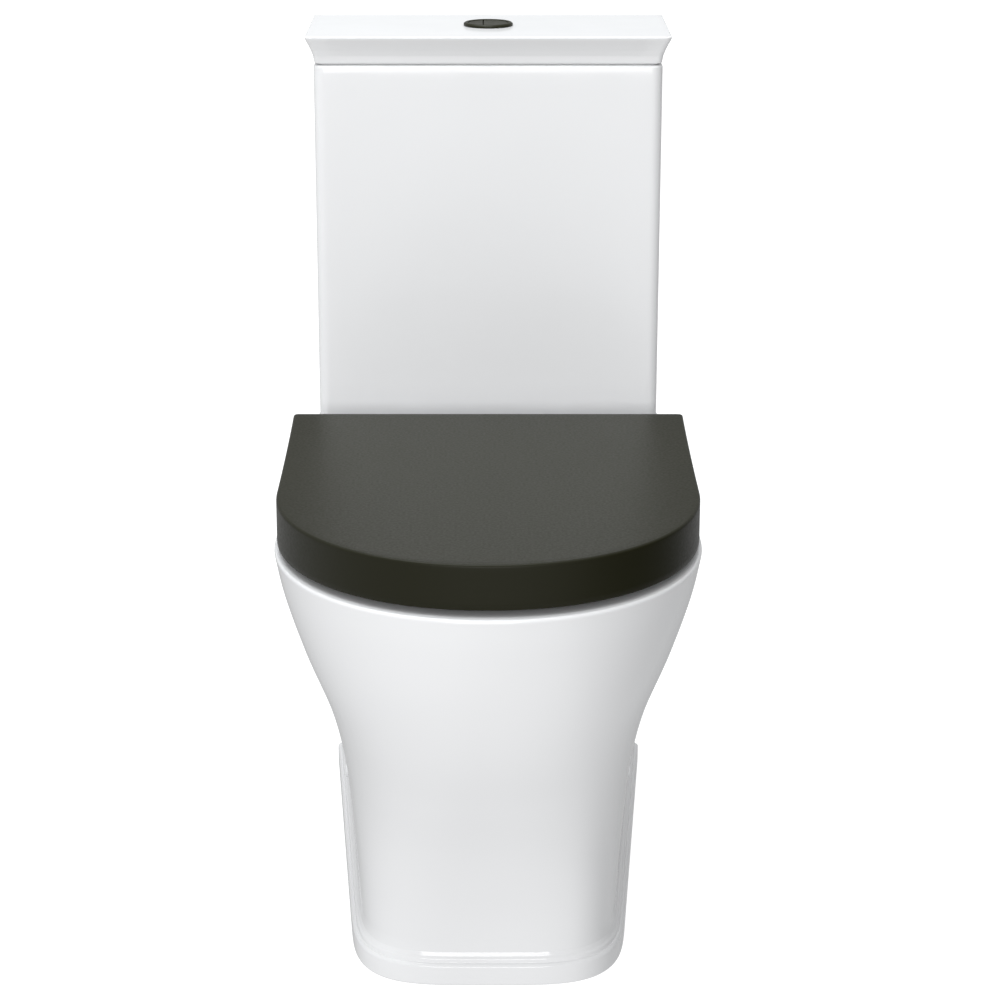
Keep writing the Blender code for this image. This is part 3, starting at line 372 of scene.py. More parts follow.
def box(name, low, high, finish, radius=0.0):
    bm = bmesh.new()
    bmesh.ops.create_cube(bm, size=1.0)
    low = Vector(low)
    high = Vector(high)
    bmesh.ops.scale(bm, vec=high - low, verts=bm.verts)
    bmesh.ops.translate(bm, vec=(low + high) / 2, verts=bm.verts)
    if radius:
        bmesh.ops.bevel(
            bm, geom=bm.edges[:], offset=radius, segments=4, profile=0.5, affect="EDGES", clamp_overlap=True
        )
    return new_object(name, bm, finish)


def rounded(profile, radius, steps=4, closed=True):
    """The profile with its corners rounded; a short side takes a smaller radius."""
    points = [Vector(point) for point in profile]
    count = len(points)
    smooth = []
    for i, point in enumerate(points):
        if not closed and i in (0, count - 1):
            smooth.append(tuple(point))
            continue
        before = points[i - 1] - point
        after = points[(i + 1) % count] - point
        bend = math.pi - before.angle(after)
        reach = min(radius * math.tan(bend / 2), before.length * 0.45, after.length * 0.45)
        start = point + before.normalized() * reach
        end = point + after.normalized() * reach
        for step in range(steps + 1):
            t = step / steps
            smooth.append(tuple(start * (1 - t) ** 2 + point * 2 * t * (1 - t) + end * t**2))
    return smooth


def turned(name, profile, centre, finish, sides=96):
    """A profile of (radius, height) points spun about Z; points on the axis close it."""
    bm = bmesh.new()
    columns = []
    for step in range(sides):
        angle = math.tau * step / sides
        columns.append([
            bm.verts.new((centre[0] + radius * math.cos(angle), centre[1] + radius * math.sin(angle), height))
            for radius, height in profile
        ])
    count = len(profile)
    for step in range(sides):
        here = columns[step]
        after = columns[(step + 1) % sides]
        for i in range(count):
            k = (i + 1) % count
            if profile[i][0] + profile[k][0] > 0:
                bm.faces.new((here[i], after[i], after[k], here[k]))
    bmesh.ops.remove_doubles(bm, verts=bm.verts, dist=0.000001)
    return new_object(name, bm, finish)


def laid(obj, start, along):
    """The object turned from upright at the origin to stand at start and point along."""
    turn = along.to_track_quat("Z", "Y").to_matrix().to_4x4()
    obj.data.transform(Matrix.Translation(start) @ turn)
    return obj


def bar(name, start, end, radius, finish, sides=48, edge=0.0004):
    """A round bar with softened ends."""
    start = Vector(start)
    end = Vector(end)
    along = end - start
    profile = rounded(((0.0, 0.0), (radius, 0.0), (radius, along.length), (0.0, along.length)), edge, 3)
    made = turned(name, [(max(r, 0.0), level) for r, level in profile], (0.0, 0.0), finish, sides)
    return laid(made, start, along)


def upright(name, centre, low, high, *settings):
    """A bar that stands at centre from low to high."""
    return bar(name, (*centre, low), (*centre, high), *settings)


def on_hinge_line(name, start, end, *settings):
    """A bar on the seat's hinge line, between two places along X."""
    return bar(name, (start, HINGE_Y, HINGE_Z), (end, HINGE_Y, HINGE_Z), *settings)


def tube(name, points, radius, finish, sides):
    """A round bar swept along a line of points that lies in one upright plane or coils about Z."""
    points = [Vector(point) for point in points]
    sections = []
    side = None
    for i, point in enumerate(points):
        along = (points[min(i + 1, len(points) - 1)] - points[max(i - 1, 0)]).normalized()
        if side is None:
            side = along.cross(Vector((0.0, 0.0, 1.0)) if abs(along.z) < 0.9 else Vector((1.0, 0.0, 0.0)))
        side = (side - along * side.dot(along)).normalized()
        up = along.cross(side)
        sections.append([
            point + radius * (side * math.cos(math.tau * k / sides) + up * math.sin(math.tau * k / sides))
            for k in range(sides)
        ])
    return loft(name, sections, finish)


def combined(target, *steps):
    """The target with objects added or cut away, each step an operation and an object, as one plain mesh."""
    for operation, other in steps:
        boolean = target.modifiers.new(other.name, "BOOLEAN")
        boolean.operation = operation
        boolean.object = other
        boolean.solver = "EXACT"
        boolean.material_mode = "TRANSFER"
    bpy.context.view_layer.update()
    evaluated = target.evaluated_get(bpy.context.evaluated_depsgraph_get())
    mesh = bpy.data.meshes.new_from_object(evaluated)
    target.modifiers.clear()
    target.data = mesh
    for operation, other in steps:
        bpy.data.objects.remove(other)
    return target


def cut(target, *others):
    return combined(target, *(("DIFFERENCE", other) for other in others))


def joined(target, *others):
    return combined(target, *(("UNION", other) for other in others))


def shade(mesh, angle=32.0):
    mesh.shade_smooth()
    mesh.set_sharp_from_angle(angle=math.radians(angle))


def fitted(obj, node, body="toilet", angle=32.0):
    """Shades the piece, hangs it on its body and hides the CAD node that it stands for."""
    shade(obj.data, angle)
    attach(obj, body)
    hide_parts(node)


def centre_of(node):
    low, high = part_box(node)
    return (low.x + high.x) / 2, (low.y + high.y) / 2


def span(side, near, far):
    """Two distances from the middle plane as places along X on that side, the lower one first."""
    return sorted((side * near, side * far))


# ---- Outlines ----
CORNER_STEPS = 10


def between(sections, height):
    """The section at this height, on smooth curves through the given sections."""
    if height <= sections[0][0]:
        return sections[0][1:]
    if height >= sections[-1][0]:
        return sections[-1][1:]
    i = max(k for k in range(len(sections) - 1) if sections[k][0] <= height)
    low = sections[i]
    high = sections[i + 1]
    before = sections[max(i - 1, 0)]
    after = sections[min(i + 2, len(sections) - 1)]
    rise = high[0] - low[0]
    t = (height - low[0]) / rise
    values = []
    for k in range(1, len(low)):
        slope_low = (high[k] - before[k]) / (high[0] - before[0]) * rise
        slope_high = (after[k] - low[k]) / (after[0] - low[0]) * rise
        values.append(
            (2 * t**3 - 3 * t**2 + 1) * low[k]
            + (t**3 - 2 * t**2 + t) * slope_low
            + (3 * t**2 - 2 * t**3) * high[k]
            + (t**3 - t**2) * slope_high
        )
    return values


def spread(low, high, count):
    return [low + (high - low) * step / (count - 1) for step in range(count)]


def quarter(steps, first=0):
    """What the sine and the cosine lack of 1, at steps of a quarter turn from the first one on."""
    angles = [math.pi / 2 * step / steps for step in range(first, steps + 1)]
    return [(1 - math.sin(angle), 1 - math.cos(angle)) for angle in angles]


def mirrored(half, height):
    """A closed section from a half outline of (x, distance from the wall), wall end first, ending on x = 0."""
    right = [(x, from_wall(distance), height) for x, distance in half]
    left = [(-x, y, z) for x, y, z in reversed(right[:-1])]
    return right + left


def skinned(name, rows, outline, finish):
    """A loft of rows of (height, inset) through the half outlines that outline(height, inset) gives."""
    return loft(name, [mirrored(outline(height, inset), height) for height, inset in rows], finish)


def offset_outline(half, offset):
    """Moves a half outline outwards, keeping its first point at its distance and its last on x = 0."""
    moved = []
    for i, (x, distance) in enumerate(half):
        before = half[max(i - 1, 0)]
        after = half[i + 1] if i + 1 < len(half) else (-half[i - 1][0], half[i - 1][1])
        along = Vector((after[0] - before[0], after[1] - before[1])).normalized()
        if i == 0:
            moved.append((x + offset, distance))
        else:
            moved.append((x + along.y * offset, distance - along.x * offset))
    moved[-1] = (0.0, moved[-1][1])
    return moved


def front_curve(half, start, front, squareness, steps, taper=0.0):
    """A quarter of a superellipse from (half, start) to (0, front); taper narrows it per metre."""
    points = []
    for step in range(1, steps + 1):
        angle = math.pi / 2 * step / steps
        along = (front - start) * math.sin(angle) ** (2 / squareness)
        across = max(math.cos(angle), 0.0) ** (2 / squareness)
        points.append(((half + taper * along) * across, start + along))
    points[-1] = (0.0, front)
    return points


def rounded_rectangle(half, back, front, back_radius, front_radius):
    """Half outline of a rectangle with round corners, wall side first, ending on x = 0."""
    outline = [(half * share, back) for share in (0.3, 0.6, 0.85)]
    outline += [(half - back_radius * a, back + back_radius * b) for a, b in quarter(CORNER_STEPS)]
    for share in (0.2, 0.5, 0.8):
        outline.append((half, back + back_radius + (front - front_radius - back - back_radius) * share))
    outline += [(half - front_radius * b, front - front_radius * a) for a, b in quarter(CORNER_STEPS)]
    outline += [(half * share, front) for share in (0.85, 0.6, 0.3, 0.0)]
    return outline


# ---- Pan ----
SIDE_STEPS = 26
FRONT_STEPS = 46
BOWL_SIDES = 96
BOWL_BOTTOM = 0.130
DECK_HOLE = 0.0055
# where the cutters of the deck start and end
UNDER_DECK = 0.38
OVER_DECK = DECK_Z + 0.01
# the plinth as (height, offset): an upright face, a round nose, a quirk, a small bead and a cove
PLINTH = (
    (0.0000, 0.0072), (0.0012, 0.0085), (0.0185, 0.0085), (0.0207, 0.0064), (0.0210, 0.0050),
    (0.0246, 0.0047), (0.0262, 0.0030), (0.0300, 0.0012), (0.0370, 0.0),
)


def pan_outline(height, offset=0.0):
    wall_half, shoulder_half, shoulder, front, squareness, straightness = between(PAN_SECTIONS, height)
    half = []
    for step in range(SIDE_STEPS + 1):
        t = step / SIDE_STEPS
        share = straightness * t + (1 - straightness) * (1 - (1 - t) ** 2.5)
        half.append((wall_half + (shoulder_half - wall_half) * share, shoulder * t))
    taper = straightness * (shoulder_half - wall_half) / shoulder
    half += front_curve(shoulder_half, shoulder, front, squareness, FRONT_STEPS, taper)
    return offset_outline(half, offset)


def pan_body():
    rows = rounded(PLINTH, 0.0028, closed=False)
    rows += [(height, 0.0) for height in spread(0.042, DECK_Z - 0.0045, 46)]
    rows += [(DECK_Z - 0.0034 * a, -0.0028 * b) for a, b in quarter(9, 1)]
    return skinned("fine_pan", rows, pan_outline, CHINA_GLAZE)


def pan_hollow():
    """The space inside the skirt, open below and at the wall."""
    def outline(height, offset):
        half = pan_outline(height, offset)
        return [(half[0][0], -0.02), *half[1:]]

    rows = [(height, -CHINA) for height in (-0.01, *spread(0.02, DECK_Z - DECK_THICKNESS, 22))]
    return skinned("pan_hollow", rows, outline, RAW_CHINA)


def bowl_form(name, wall, rows, finish):
    """The bowl's shape with wall added; rows are (height, extra) pairs."""
    sections = []
    for height, extra in rows:
        centre, half_width, half_length = between(BOWL_SECTIONS, height)
        level = height - wall * (height == rows[0][0])
        section = []
        for step in range(BOWL_SIDES):
            angle = math.tau * step / BOWL_SIDES
            x = (half_width + wall + extra) * math.cos(angle)
            section.append((x, from_wall(centre) + (half_length + wall + extra) * math.sin(angle), level))
        sections.append(section)
    return loft(name, sections, finish)


def bend(centre, start, end, steps):
    """Points of an arc of the trap's centre line, as distance and height; the angles are in degrees."""
    angles = [math.radians(start + (end - start) * step / steps) for step in range(steps + 1)]
    return [(centre[0] + TRAP_BEND * math.cos(a), centre[1] + TRAP_BEND * math.sin(a)) for a in angles]


def trap_route(above, end):
    """The trap's centre line: down from the sump, round the dip, over the weir and out at the wall."""
    dip = bend(TRAP_DIP, 0, -180, 28)
    weir = bend(TRAP_WEIR, 0, 135, 22)
    leaving = math.radians(-45)
    level = OUTLET_Z + TRAP_BEND
    drop = weir[-1][1] - (level + TRAP_BEND * math.sin(leaving))
    outlet = bend((weir[-1][0] - drop - TRAP_BEND * math.cos(leaving), level), -45, -90, 8)
    route = [(dip[0][0], dip[0][1] + above), *dip, *weir, *outlet, (end, OUTLET_Z)]
    return [(0.0, from_wall(distance), height) for distance, height in route]


def pan():
    rim = 0.005
    inside = [(height, 0.0) for height in spread(BOWL_BOTTOM, DECK_Z - rim, 30)]
    inside += [(DECK_Z - rim * (1 - b) + 0.00001, rim * b) for a, b in quarter(6, 1)]
    inside.append((OVER_DECK, rim))
    shell = [(height, 0.0) for height in spread(BOWL_BOTTOM, DECK_Z - 0.004, 16)]
    wall = RECESS_RADIUS + 0.002
    channel_wall = (
        (-wall, from_wall(CHANNEL_END), CHANNEL_LOW - 0.011),
        (wall, from_wall(0.016), DECK_Z - 0.002),
    )
    channel = (
        (-CHANNEL_HALF, from_wall(CHANNEL_END), CHANNEL_LOW),
        (CHANNEL_HALF, from_wall(VALVE_LINE - CHANNEL_HALF), CHANNEL_HIGH),
    )
    spigot = [(0.0, from_wall(distance), OUTLET_Z) for distance in (OUTLET_END, OUTLET_END + 0.060)]
    trap_wall = trap_route(0.002, OUTLET_END + 0.020)
    made = joined(
        cut(pan_body(), pan_hollow()),
        box("flush_channel_wall", *channel_wall, RAW_CHINA, 0.006),
        bowl_form("bowl_shell", BOWL_WALL, shell, RAW_CHINA),
        tube("trap_wall", trap_wall, TRAP_BORE + TRAP_WALL, RAW_CHINA, 48),
        bar("outlet_spigot", *spigot, OUTLET_RADIUS, CHINA_GLAZE, 72, 0.003),
    )
    valve = (0.0, VALVE_Y)
    cutters = [
        bowl_form("bowl_inside", 0.0, inside, CHINA_GLAZE),
        tube("trap_bore", trap_route(0.012, OUTLET_END - 0.020), TRAP_BORE, CHINA_GLAZE, 48),
        box("flush_channel", *channel, CHINA_GLAZE, 0.006),
        upright("flush_hole", valve, CHANNEL_LOW + 0.008, DECK_Z, FLUSH_HOLE, RAW_CHINA, 64),
        upright("gasket_recess", valve, RECESS_Z, OVER_DECK, RECESS_RADIUS, RAW_CHINA, 96, 0.002),
        upright("supply_hole", (FILL_X, VALVE_Y), UNDER_DECK, OVER_DECK, SUPPLY_HOLE, RAW_CHINA, 64),
    ]
    low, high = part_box("side_screw_r")
    middle = (low + high) / 2
    for side in (-1, 1):
        for centre in ((side * BOLT_X, VALVE_Y), (side * HINGE_X, HINGE_Y)):
            cutters.append(upright("deck_hole", centre, UNDER_DECK, OVER_DECK, DECK_HOLE, RAW_CHINA))
        through = [(side * x, middle.y, middle.z) for x in (0.110, 0.180)]
        cutters.append(bar("fixing_hole", *through, 0.006, RAW_CHINA))
    fitted(cut(made, *cutters), "pan")


# ---- Cistern ----
def cistern():
    def outside(height, inset):
        return rounded_rectangle(
            CISTERN_HALF - inset, CISTERN_BACK + inset, CISTERN_FRONT - inset, 0.004, 0.011
        )

    def inside(height, inset):
        wall = CISTERN_WALL + inset
        return rounded_rectangle(CISTERN_HALF - wall, CISTERN_BACK + wall, CISTERN_FRONT - wall, 0.006, 0.008)

    rows = [(CISTERN_Z, 0.004)]
    rows += [(CISTERN_Z + 0.004 * b, 0.004 * a) for a, b in quarter(6, 1)]
    rows += [(height, 0.0) for height in spread(CISTERN_Z + 0.02, CISTERN_TOP - 0.02, 12)]
    rows += [(CISTERN_TOP - 0.0026 * a, 0.0026 * b) for a, b in quarter(8)]
    hollow = (
        (CISTERN_FLOOR, 0.006), (CISTERN_FLOOR + 0.0012, 0.0025), (CISTERN_FLOOR + 0.006, 0.0),
        (CISTERN_TOP - 0.002, 0.0), (CISTERN_TOP + 0.01, -0.006),
    )
    made = skinned("fine_cistern", rows, outside, CISTERN_GLAZE)
    cutters = [skinned("cistern_inside", hollow, inside, CISTERN_GLAZE)]
    for name, x, radius, sides in (
        ("flush_valve_hole", 0.0, 0.032, 64),
        ("fill_valve_hole", FILL_X, 0.011, 48),
        ("cistern_bolt_hole", -BOLT_X, DECK_HOLE, 48),
        ("cistern_bolt_hole", BOLT_X, DECK_HOLE, 48),
    ):
        cutters.append(upright(name, (x, VALVE_Y), 0.40, 0.43, radius, RAW_CHINA, sides))
    fitted(cut(made, *cutters), "cistern")


def cistern_lid():
    """The lid: its front and sides slope in from a round top edge to a foot that stands on the cistern's rim."""
    corners = (
        (LID_FOOT, 0.0120), (0.7815, 0.0120), (0.7815, 0.0086), (0.7840, 0.0081), (0.7890, 0.0072),
        (0.7945, 0.0053), (0.8000, 0.0029), (0.8040, 0.0009), (0.8062, 0.0), (LID_TOP, 0.0),
        (LID_TOP, 0.0060),
    )

    def outside(height, inset):
        back = LID_BACK + max(inset - 0.0082, 0.0) * 3 + max(height - LID_TOP + 0.002, 0.0) * 0.5
        return rounded_rectangle(LID_HALF - inset, back, LID_FRONT - inset, 0.002, 0.006)

    def inside(height, inset):
        return rounded_rectangle(0.150 - inset, 0.022 + inset, 0.140 - inset, 0.008, 0.010)

    hollow = ((LID_FOOT - 0.01, 0.0), (LID_PLATE - 0.005, 0.0), (LID_PLATE - 0.0015, 0.0018), (LID_PLATE, 0.005))
    rows = rounded(corners, 0.0022, closed=False)
    made = cut(
        skinned("fine_cistern_lid", rows, outside, LID_GLAZE),
        skinned("lid_hollow", hollow, inside, LID_GLAZE),
        upright("button_hole", (0.0, VALVE_Y), 0.78, 0.82, STEM_RADIUS + 0.0005, RAW_CHINA, 96),
    )
    fitted(made, "cistern_lid")


# ---- Seat ----
def seat_outline(inset, back, corner):
    """Half outline of the D-shaped seat, inset from the lid's edge, with a round rear corner."""
    start = (SEAT_BACK_HALF - inset, back + corner)
    end = (SEAT_HALF - inset, SEAT_SHOULDER)
    half = [(SEAT_BACK_HALF * share, back) for share in (0.25, 0.5, 0.7, 0.85)]
    half += [(start[0] - corner * a, back + corner * b) for a, b in quarter(10)]
    for step in range(1, 9):
        t = step / 8
        half.append((start[0] + (end[0] - start[0]) * t * (2 - t), start[1] + (end[1] - start[1]) * t))
    return half + front_curve(end[0], SEAT_SHOULDER, SEAT_FRONT - inset, SEAT_SQUARENESS, 64)


def shrunk(section, middle, share, rise):
    """The section drawn in towards the middle, as (x, y), and lifted."""
    middle = Vector((*middle, 0.0))
    scale = Vector((share, share, 1.0))
    return [middle + (Vector(point) - middle) * scale + Vector((0.0, 0.0, rise)) for point in section]


def seat_lid():
    def outside(height, inset):
        return seat_outline(inset, SEAT_BACK + inset, 0.003)

    def inside(height, inset):
        return seat_outline(SKIRT_WALL + inset, SEAT_BACK + 0.004 + inset, 0.002)

    radius = 0.0026
    top = SEAT_TOP - 0.0004
    rows = [(SKIRT_Z, 0.0011), (SKIRT_Z + 0.0003, 0.0004), (SKIRT_Z + 0.0011, 0.0)]
    rows += [(height, 0.0) for height in spread(SKIRT_Z + 0.006, SEAT_TOP - 0.006, 6)]
    rows += [(top - radius * a, radius * b) for a, b in quarter(8)]
    sections = [mirrored(outside(height, inset), height) for height, inset in rows]
    edge = sections[-1]
    for share in (0.97, 0.90, 0.80, 0.66, 0.50, 0.34, 0.18, 0.05):
        sections.append(shrunk(edge, (0.0, from_wall(0.43)), share, 0.0004 * (1 - share**2)))
    hollow = ((SKIRT_Z - 0.01, 0.0), (SEAT_PLATE - 0.003, 0.0), (SEAT_PLATE - 0.0009, 0.0009), (SEAT_PLATE, 0.003))
    made = cut(
        loft("fine_seat_lid", sections, SEAT_PLASTIC),
        skinned("lid_inside", hollow, inside, SEAT_PLASTIC),
        box("rear_gap", (-0.178, from_wall(0.206), 0.40), (0.178, from_wall(BEHIND_SEAT), 0.434), SEAT_PLASTIC),
    )
    for side in (-1, 1):
        cutters = []
        for near, far, line, low, high in (
            (0.062, 0.093, 0.206, 0.42, SEAT_PLATE + 0.0003),
            (0.172, 0.200, 0.226, 0.40, 0.4165),
        ):
            left, right = span(side, near, far)
            notch = ((left, from_wall(line), low), (right, from_wall(BEHIND_SEAT), high))
            cutters.append(box("notch", *notch, SEAT_PLASTIC))
        made = cut(made, *cutters)
        left, right = span(side, 0.0500, 0.0675)
        lug = ((left, HINGE_Y - 0.0065, HINGE_Z), (right, HINGE_Y + 0.0065, SEAT_PLATE + 0.002))
        made = joined(
            made,
            box("lid_lug", *lug, SEAT_PLASTIC),
            on_hinge_line("lid_knuckle", left, right, 0.007, SEAT_PLASTIC, 64),
        )
        made = cut(made, on_hinge_line("lid_pin_hole", side * 0.040, side * 0.070, PIN_HOLE, SEAT_PLASTIC))
    fitted(made, "seat_lid", "lid")


def opening_outline(inset, count):
    """Half outline of the ring's opening, with as many points as the outer outline."""
    half = []
    for step in range(count):
        angle = math.pi * (step + 0.5) / (count - 0.5)
        x = (OPENING_HALF - inset) * math.sin(angle)
        half.append((x, OPENING_LINE - (OPENING_LENGTH - inset) * math.cos(angle)))
    half[-1] = (0.0, half[-1][1])
    return half


def seat_ring():
    """The ring: a comfort profile that falls towards the opening, hollow below with ribs and buffer bosses."""
    def outer(inset, height):
        return mirrored(seat_outline(RING_INSET + inset, RING_BACK + inset, 0.018), height)

    count = len(seat_outline(0.0, RING_BACK, 0.018))

    def inner(inset, height):
        return mirrored(opening_outline(inset, count), height)

    roof = RING_Z + 0.0170
    brim = RING_TOP - 0.0007
    sections = [outer(0.0012, RING_Z), outer(0.0004, RING_Z + 0.0004), outer(0.0, RING_Z + 0.0014)]
    sections += [outer(0.0065 * b, RING_TOP - 0.0055 * a) for a, b in quarter(8)]
    edge = sections[-1]
    lip = inner(-0.0130, brim)
    for step in range(1, 8):
        t = step / 8
        lift = Vector((0.0, 0.0, 0.0002 * math.sin(math.pi * t)))
        sections.append([Vector(a).lerp(Vector(b), t) + lift for a, b in zip(edge, lip)])
    sections += [inner(-0.0130 * a, brim - 0.0075 * b) for a, b in quarter(9)]
    sections += [inner(0.0, RING_Z + 0.0014), inner(-0.0004, RING_Z + 0.0004), inner(-0.0012, RING_Z)]
    sections += [inner(-0.0050, RING_Z), inner(-0.0056, roof - 0.003), inner(-0.0085, roof)]
    sections += [outer(0.0085, roof), outer(0.0056, roof - 0.003), outer(0.0050, RING_Z)]
    supports = []
    for side in (-1, 1):
        for distance, far in ((0.300, 0.1762), (0.360, 0.1762), (0.430, 0.1762), (0.490, 0.1762), (0.560, 0.150)):
            across = math.sqrt(max(1 - ((distance - OPENING_LINE) / OPENING_LENGTH) ** 2, 0.0))
            left, right = span(side, OPENING_HALF * across + 0.003, far)
            low = (left, from_wall(distance + 0.0014), RING_Z + 0.002)
            high = (right, from_wall(distance - 0.0014), roof + 0.002)
            supports.append(box("rib", low, high, RING_PLASTIC))
        for place in ("front", "back"):
            x, y = centre_of("ring_buffer_" + place + "_r")
            supports.append(upright("boss", (side * x, y), RING_Z, roof + 0.002, 0.0118, RING_PLASTIC))
        near = HINGE_X + PILLAR_HALF + 0.0005
        far = 0.100
        left, right = span(side, near, far)
        lug = ((left, from_wall(RING_BACK + 0.004), HINGE_Z - 0.0070), (right, HINGE_Y, HINGE_Z + 0.0070))
        supports.append(box("ring_lug", *lug, RING_PLASTIC))
        supports.append(on_hinge_line("ring_knuckle", side * near, side * far, 0.0075, RING_PLASTIC, 64))
    made = joined(loft("fine_seat_ring", sections, RING_PLASTIC, closed=True), *supports)
    holes = [
        on_hinge_line("ring_pin_hole", side * 0.080, side * 0.120, PIN_HOLE, RING_PLASTIC) for side in (-1, 1)
    ]
    fitted(cut(made, *holes), "seat_ring", "ring")


# ---- Hinges and buffers ----
def seat_hinges():
    for side, word in SIDES:
        low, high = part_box("hinge_base_" + word)
        radius = (high.x - low.x) / 2
        profile = ((0.0043, low.z), (radius, low.z), (radius, high.z), (0.0043, high.z))
        base = turned("fine_hinge_base_" + word, rounded(profile, 0.0012), (side * HINGE_X, HINGE_Y), ZINC)
        fitted(base, "hinge_base_" + word)
        low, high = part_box("hinge_pillar_" + word)
        post = box("fine_hinge_pillar_" + word, low, (high.x, high.y - 0.001, HINGE_Z), ZINC, 0.0008)
        barrel = on_hinge_line("barrel", low.x, high.x, 0.008, ZINC, 64, 0.0006)
        hole = on_hinge_line("barrel_hole", side * 0.060, side * 0.095, PIN_HOLE, ZINC)
        fitted(cut(joined(post, barrel), hole), "hinge_pillar_" + word)
        low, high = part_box("hinge_damper_" + word)
        fitted(on_hinge_line("fine_hinge_damper_" + word, low.x, high.x, 0.004, STEEL), "hinge_damper_" + word)


def buffers():
    for name in [name for name in nodes if "_buffer_" in name]:
        low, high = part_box(name)
        radius = (high.x - low.x) / 2
        waist = low.z + 0.35 * (high.z - low.z)
        profile = ((0.0, high.z), (radius, high.z), (radius * 0.97, waist), (radius * 0.78, low.z), (0.0, low.z))
        made = turned("fine_" + name, rounded(profile, 0.0012, closed=False), centre_of(name), GREY_RUBBER, 64)
        fitted(made, name, "lid" if name.startswith("lid") else "ring")


# ---- Flush buttons and cover caps ----
def button_collar():
    profile = (
        (0.0, STEM_END + 0.003), (STEM_BORE, STEM_END + 0.003), (STEM_BORE, COLLAR_HIGH.z - 0.0002),
        (0.0204, COLLAR_HIGH.z), (0.0225, COLLAR_HIGH.z), (BEZEL_RADIUS, COLLAR_HIGH.z - 0.0012),
        (BEZEL_RADIUS, LID_TOP + 0.0003), (STEM_RADIUS, LID_TOP + 0.0003), (STEM_RADIUS, STEM_END),
        (0.0, STEM_END),
    )
    made = turned("fine_button_collar", rounded(profile, 0.0007, closed=False), (0.0, VALVE_Y), BUTTON_PLASTIC, 128)
    holes = [
        upright("guide_hole", centre_of("push_rod_" + word), 0.76, 0.78, 0.0026, BUTTON_PLASTIC, 24)
        for word in ("full", "half")
    ]
    fitted(cut(made, *holes), "button_collar")


def flush_buttons():
    """The two halves of the button, softly dished, with rounded edges along the split."""
    for word, side in HALVES:
        low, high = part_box("flush_button_" + word)
        edge = SPLIT_X + side * 0.0003
        start = math.acos(edge / BUTTON_RADIUS)
        angles = spread(-start, start, 61) if side > 0 else spread(start, math.tau - start, 61)
        rows = [(low.z, 0.0003), (low.z + 0.0003, 0.0), (high.z - 0.0008, 0.0)]
        rows += [(high.z - 0.0003, 0.00015), (high.z - 0.00005, 0.0005), (high.z, 0.0009)]
        sections = []
        for height, inset in rows:
            radius = BUTTON_RADIUS - inset
            limit = edge + side * inset
            keep = max if side > 0 else min
            sections.append([
                (keep(radius * math.cos(a), limit), VALVE_Y + radius * math.sin(a), height) for a in angles
            ])
        rim = sections[-1]
        for share in (0.85, 0.65, 0.45, 0.25, 0.08):
            sections.append(shrunk(rim, (edge + side * 0.010, VALVE_Y), share, -0.0005 * (1 - share**2)))
        made = loft("fine_flush_button_" + word, sections, BUTTON_PLASTIC)
        fitted(made, "flush_button_" + word, word + "_button", angle=50.0)


def button_springs():
    """Round wire springs under the two halves of the button, with flat end turns."""
    for word in ("full", "half"):
        low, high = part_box("button_spring_" + word)
        x, y = centre_of("button_spring_" + word)
        climbed = high.z - low.z - 2 * SPRING_WIRE
        points = []
        for step in range(SPRING_TURNS * SPRING_STEPS + 1):
            share = step / (SPRING_TURNS * SPRING_STEPS)
            climb = min(max((share - 0.10) / 0.80, 0.0), 1.0)
            angle = math.tau * step / SPRING_STEPS
            level = low.z + SPRING_WIRE + climbed * climb + SPRING_WIRE * (share - 0.5) * 0.2
            points.append((x + SPRING_RADIUS * math.cos(angle), y + SPRING_RADIUS * math.sin(angle), level))
        made = tube("fine_button_spring_" + word, points, SPRING_WIRE, STEEL, 12)
        fitted(made, "button_spring_" + word, angle=60.0)
        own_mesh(made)


def cover_caps():
    """The cover caps on the skirt: thin, crowned and softly edged."""
    # how far behind the face, and the share of the radius
    rings = (
        (0.0050, 0.66), (0.0026, 0.66), (0.0026, 0.97), (0.0022, 1.0), (0.0010, 1.0),
        (0.0004, 0.97), (0.0001, 0.90), (0.0, 0.70),
    )
    turns = [(math.cos(math.tau * k / 64), math.sin(math.tau * k / 64)) for k in range(64)]
    for side, word in SIDES:
        low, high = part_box("cover_cap_" + word)
        middle = (low + high) / 2
        radius = (high.z - low.z) / 2
        face = high.x if side > 0 else low.x
        sections = [
            [(face - side * depth, middle.y + radius * size * y, middle.z + radius * size * z) for y, z in turns]
            for depth, size in rings
        ]
        made = loft("fine_cover_cap_" + word, sections, CAP_PLASTIC)
        fitted(made, "cover_cap_" + word, angle=50.0)


# ---- Fittings inside the cistern and under the deck ----
# node, bore, rounding of the edges and number of sides
RINGS = (
    ("flush_valve_washer", 0.0306, 0.0009, 96), ("flush_valve_backnut", 0.0306, 0.0008, 96),
    ("close_coupling_gasket", 0.0443, 0.0030, 96), ("valve_seal", 0.0130, 0.0008, 96),
    ("fill_valve_washer", 0.0107, 0.0009, 96), ("collar_nut", STEM_RADIUS + 0.0005, 0.0008, 96),
    ("bolt_washer_l", 0.0044, 0.0009, 96), ("bolt_washer_r", 0.0044, 0.0009, 96),
    ("hinge_nut_l", 0.0043, 0.0009, 6), ("hinge_nut_r", 0.0043, 0.0009, 6),
    ("fill_valve_backnut", 0.0106, 0.0009, 6),
)
PIN_RADIUS = 0.0018


def finish_of(node):
    return FINISHES[SLOTS[node]]


def threaded(top, bottom, radius, pitch=0.00125, depth=0.00045):
    """Profile points down the outside of a threaded shank."""
    points = []
    for turn in range(int((top - bottom) / pitch)):
        points.append((radius, top - (turn + 0.25) * pitch))
        points.append((radius - depth, top - (turn + 0.75) * pitch))
    return points


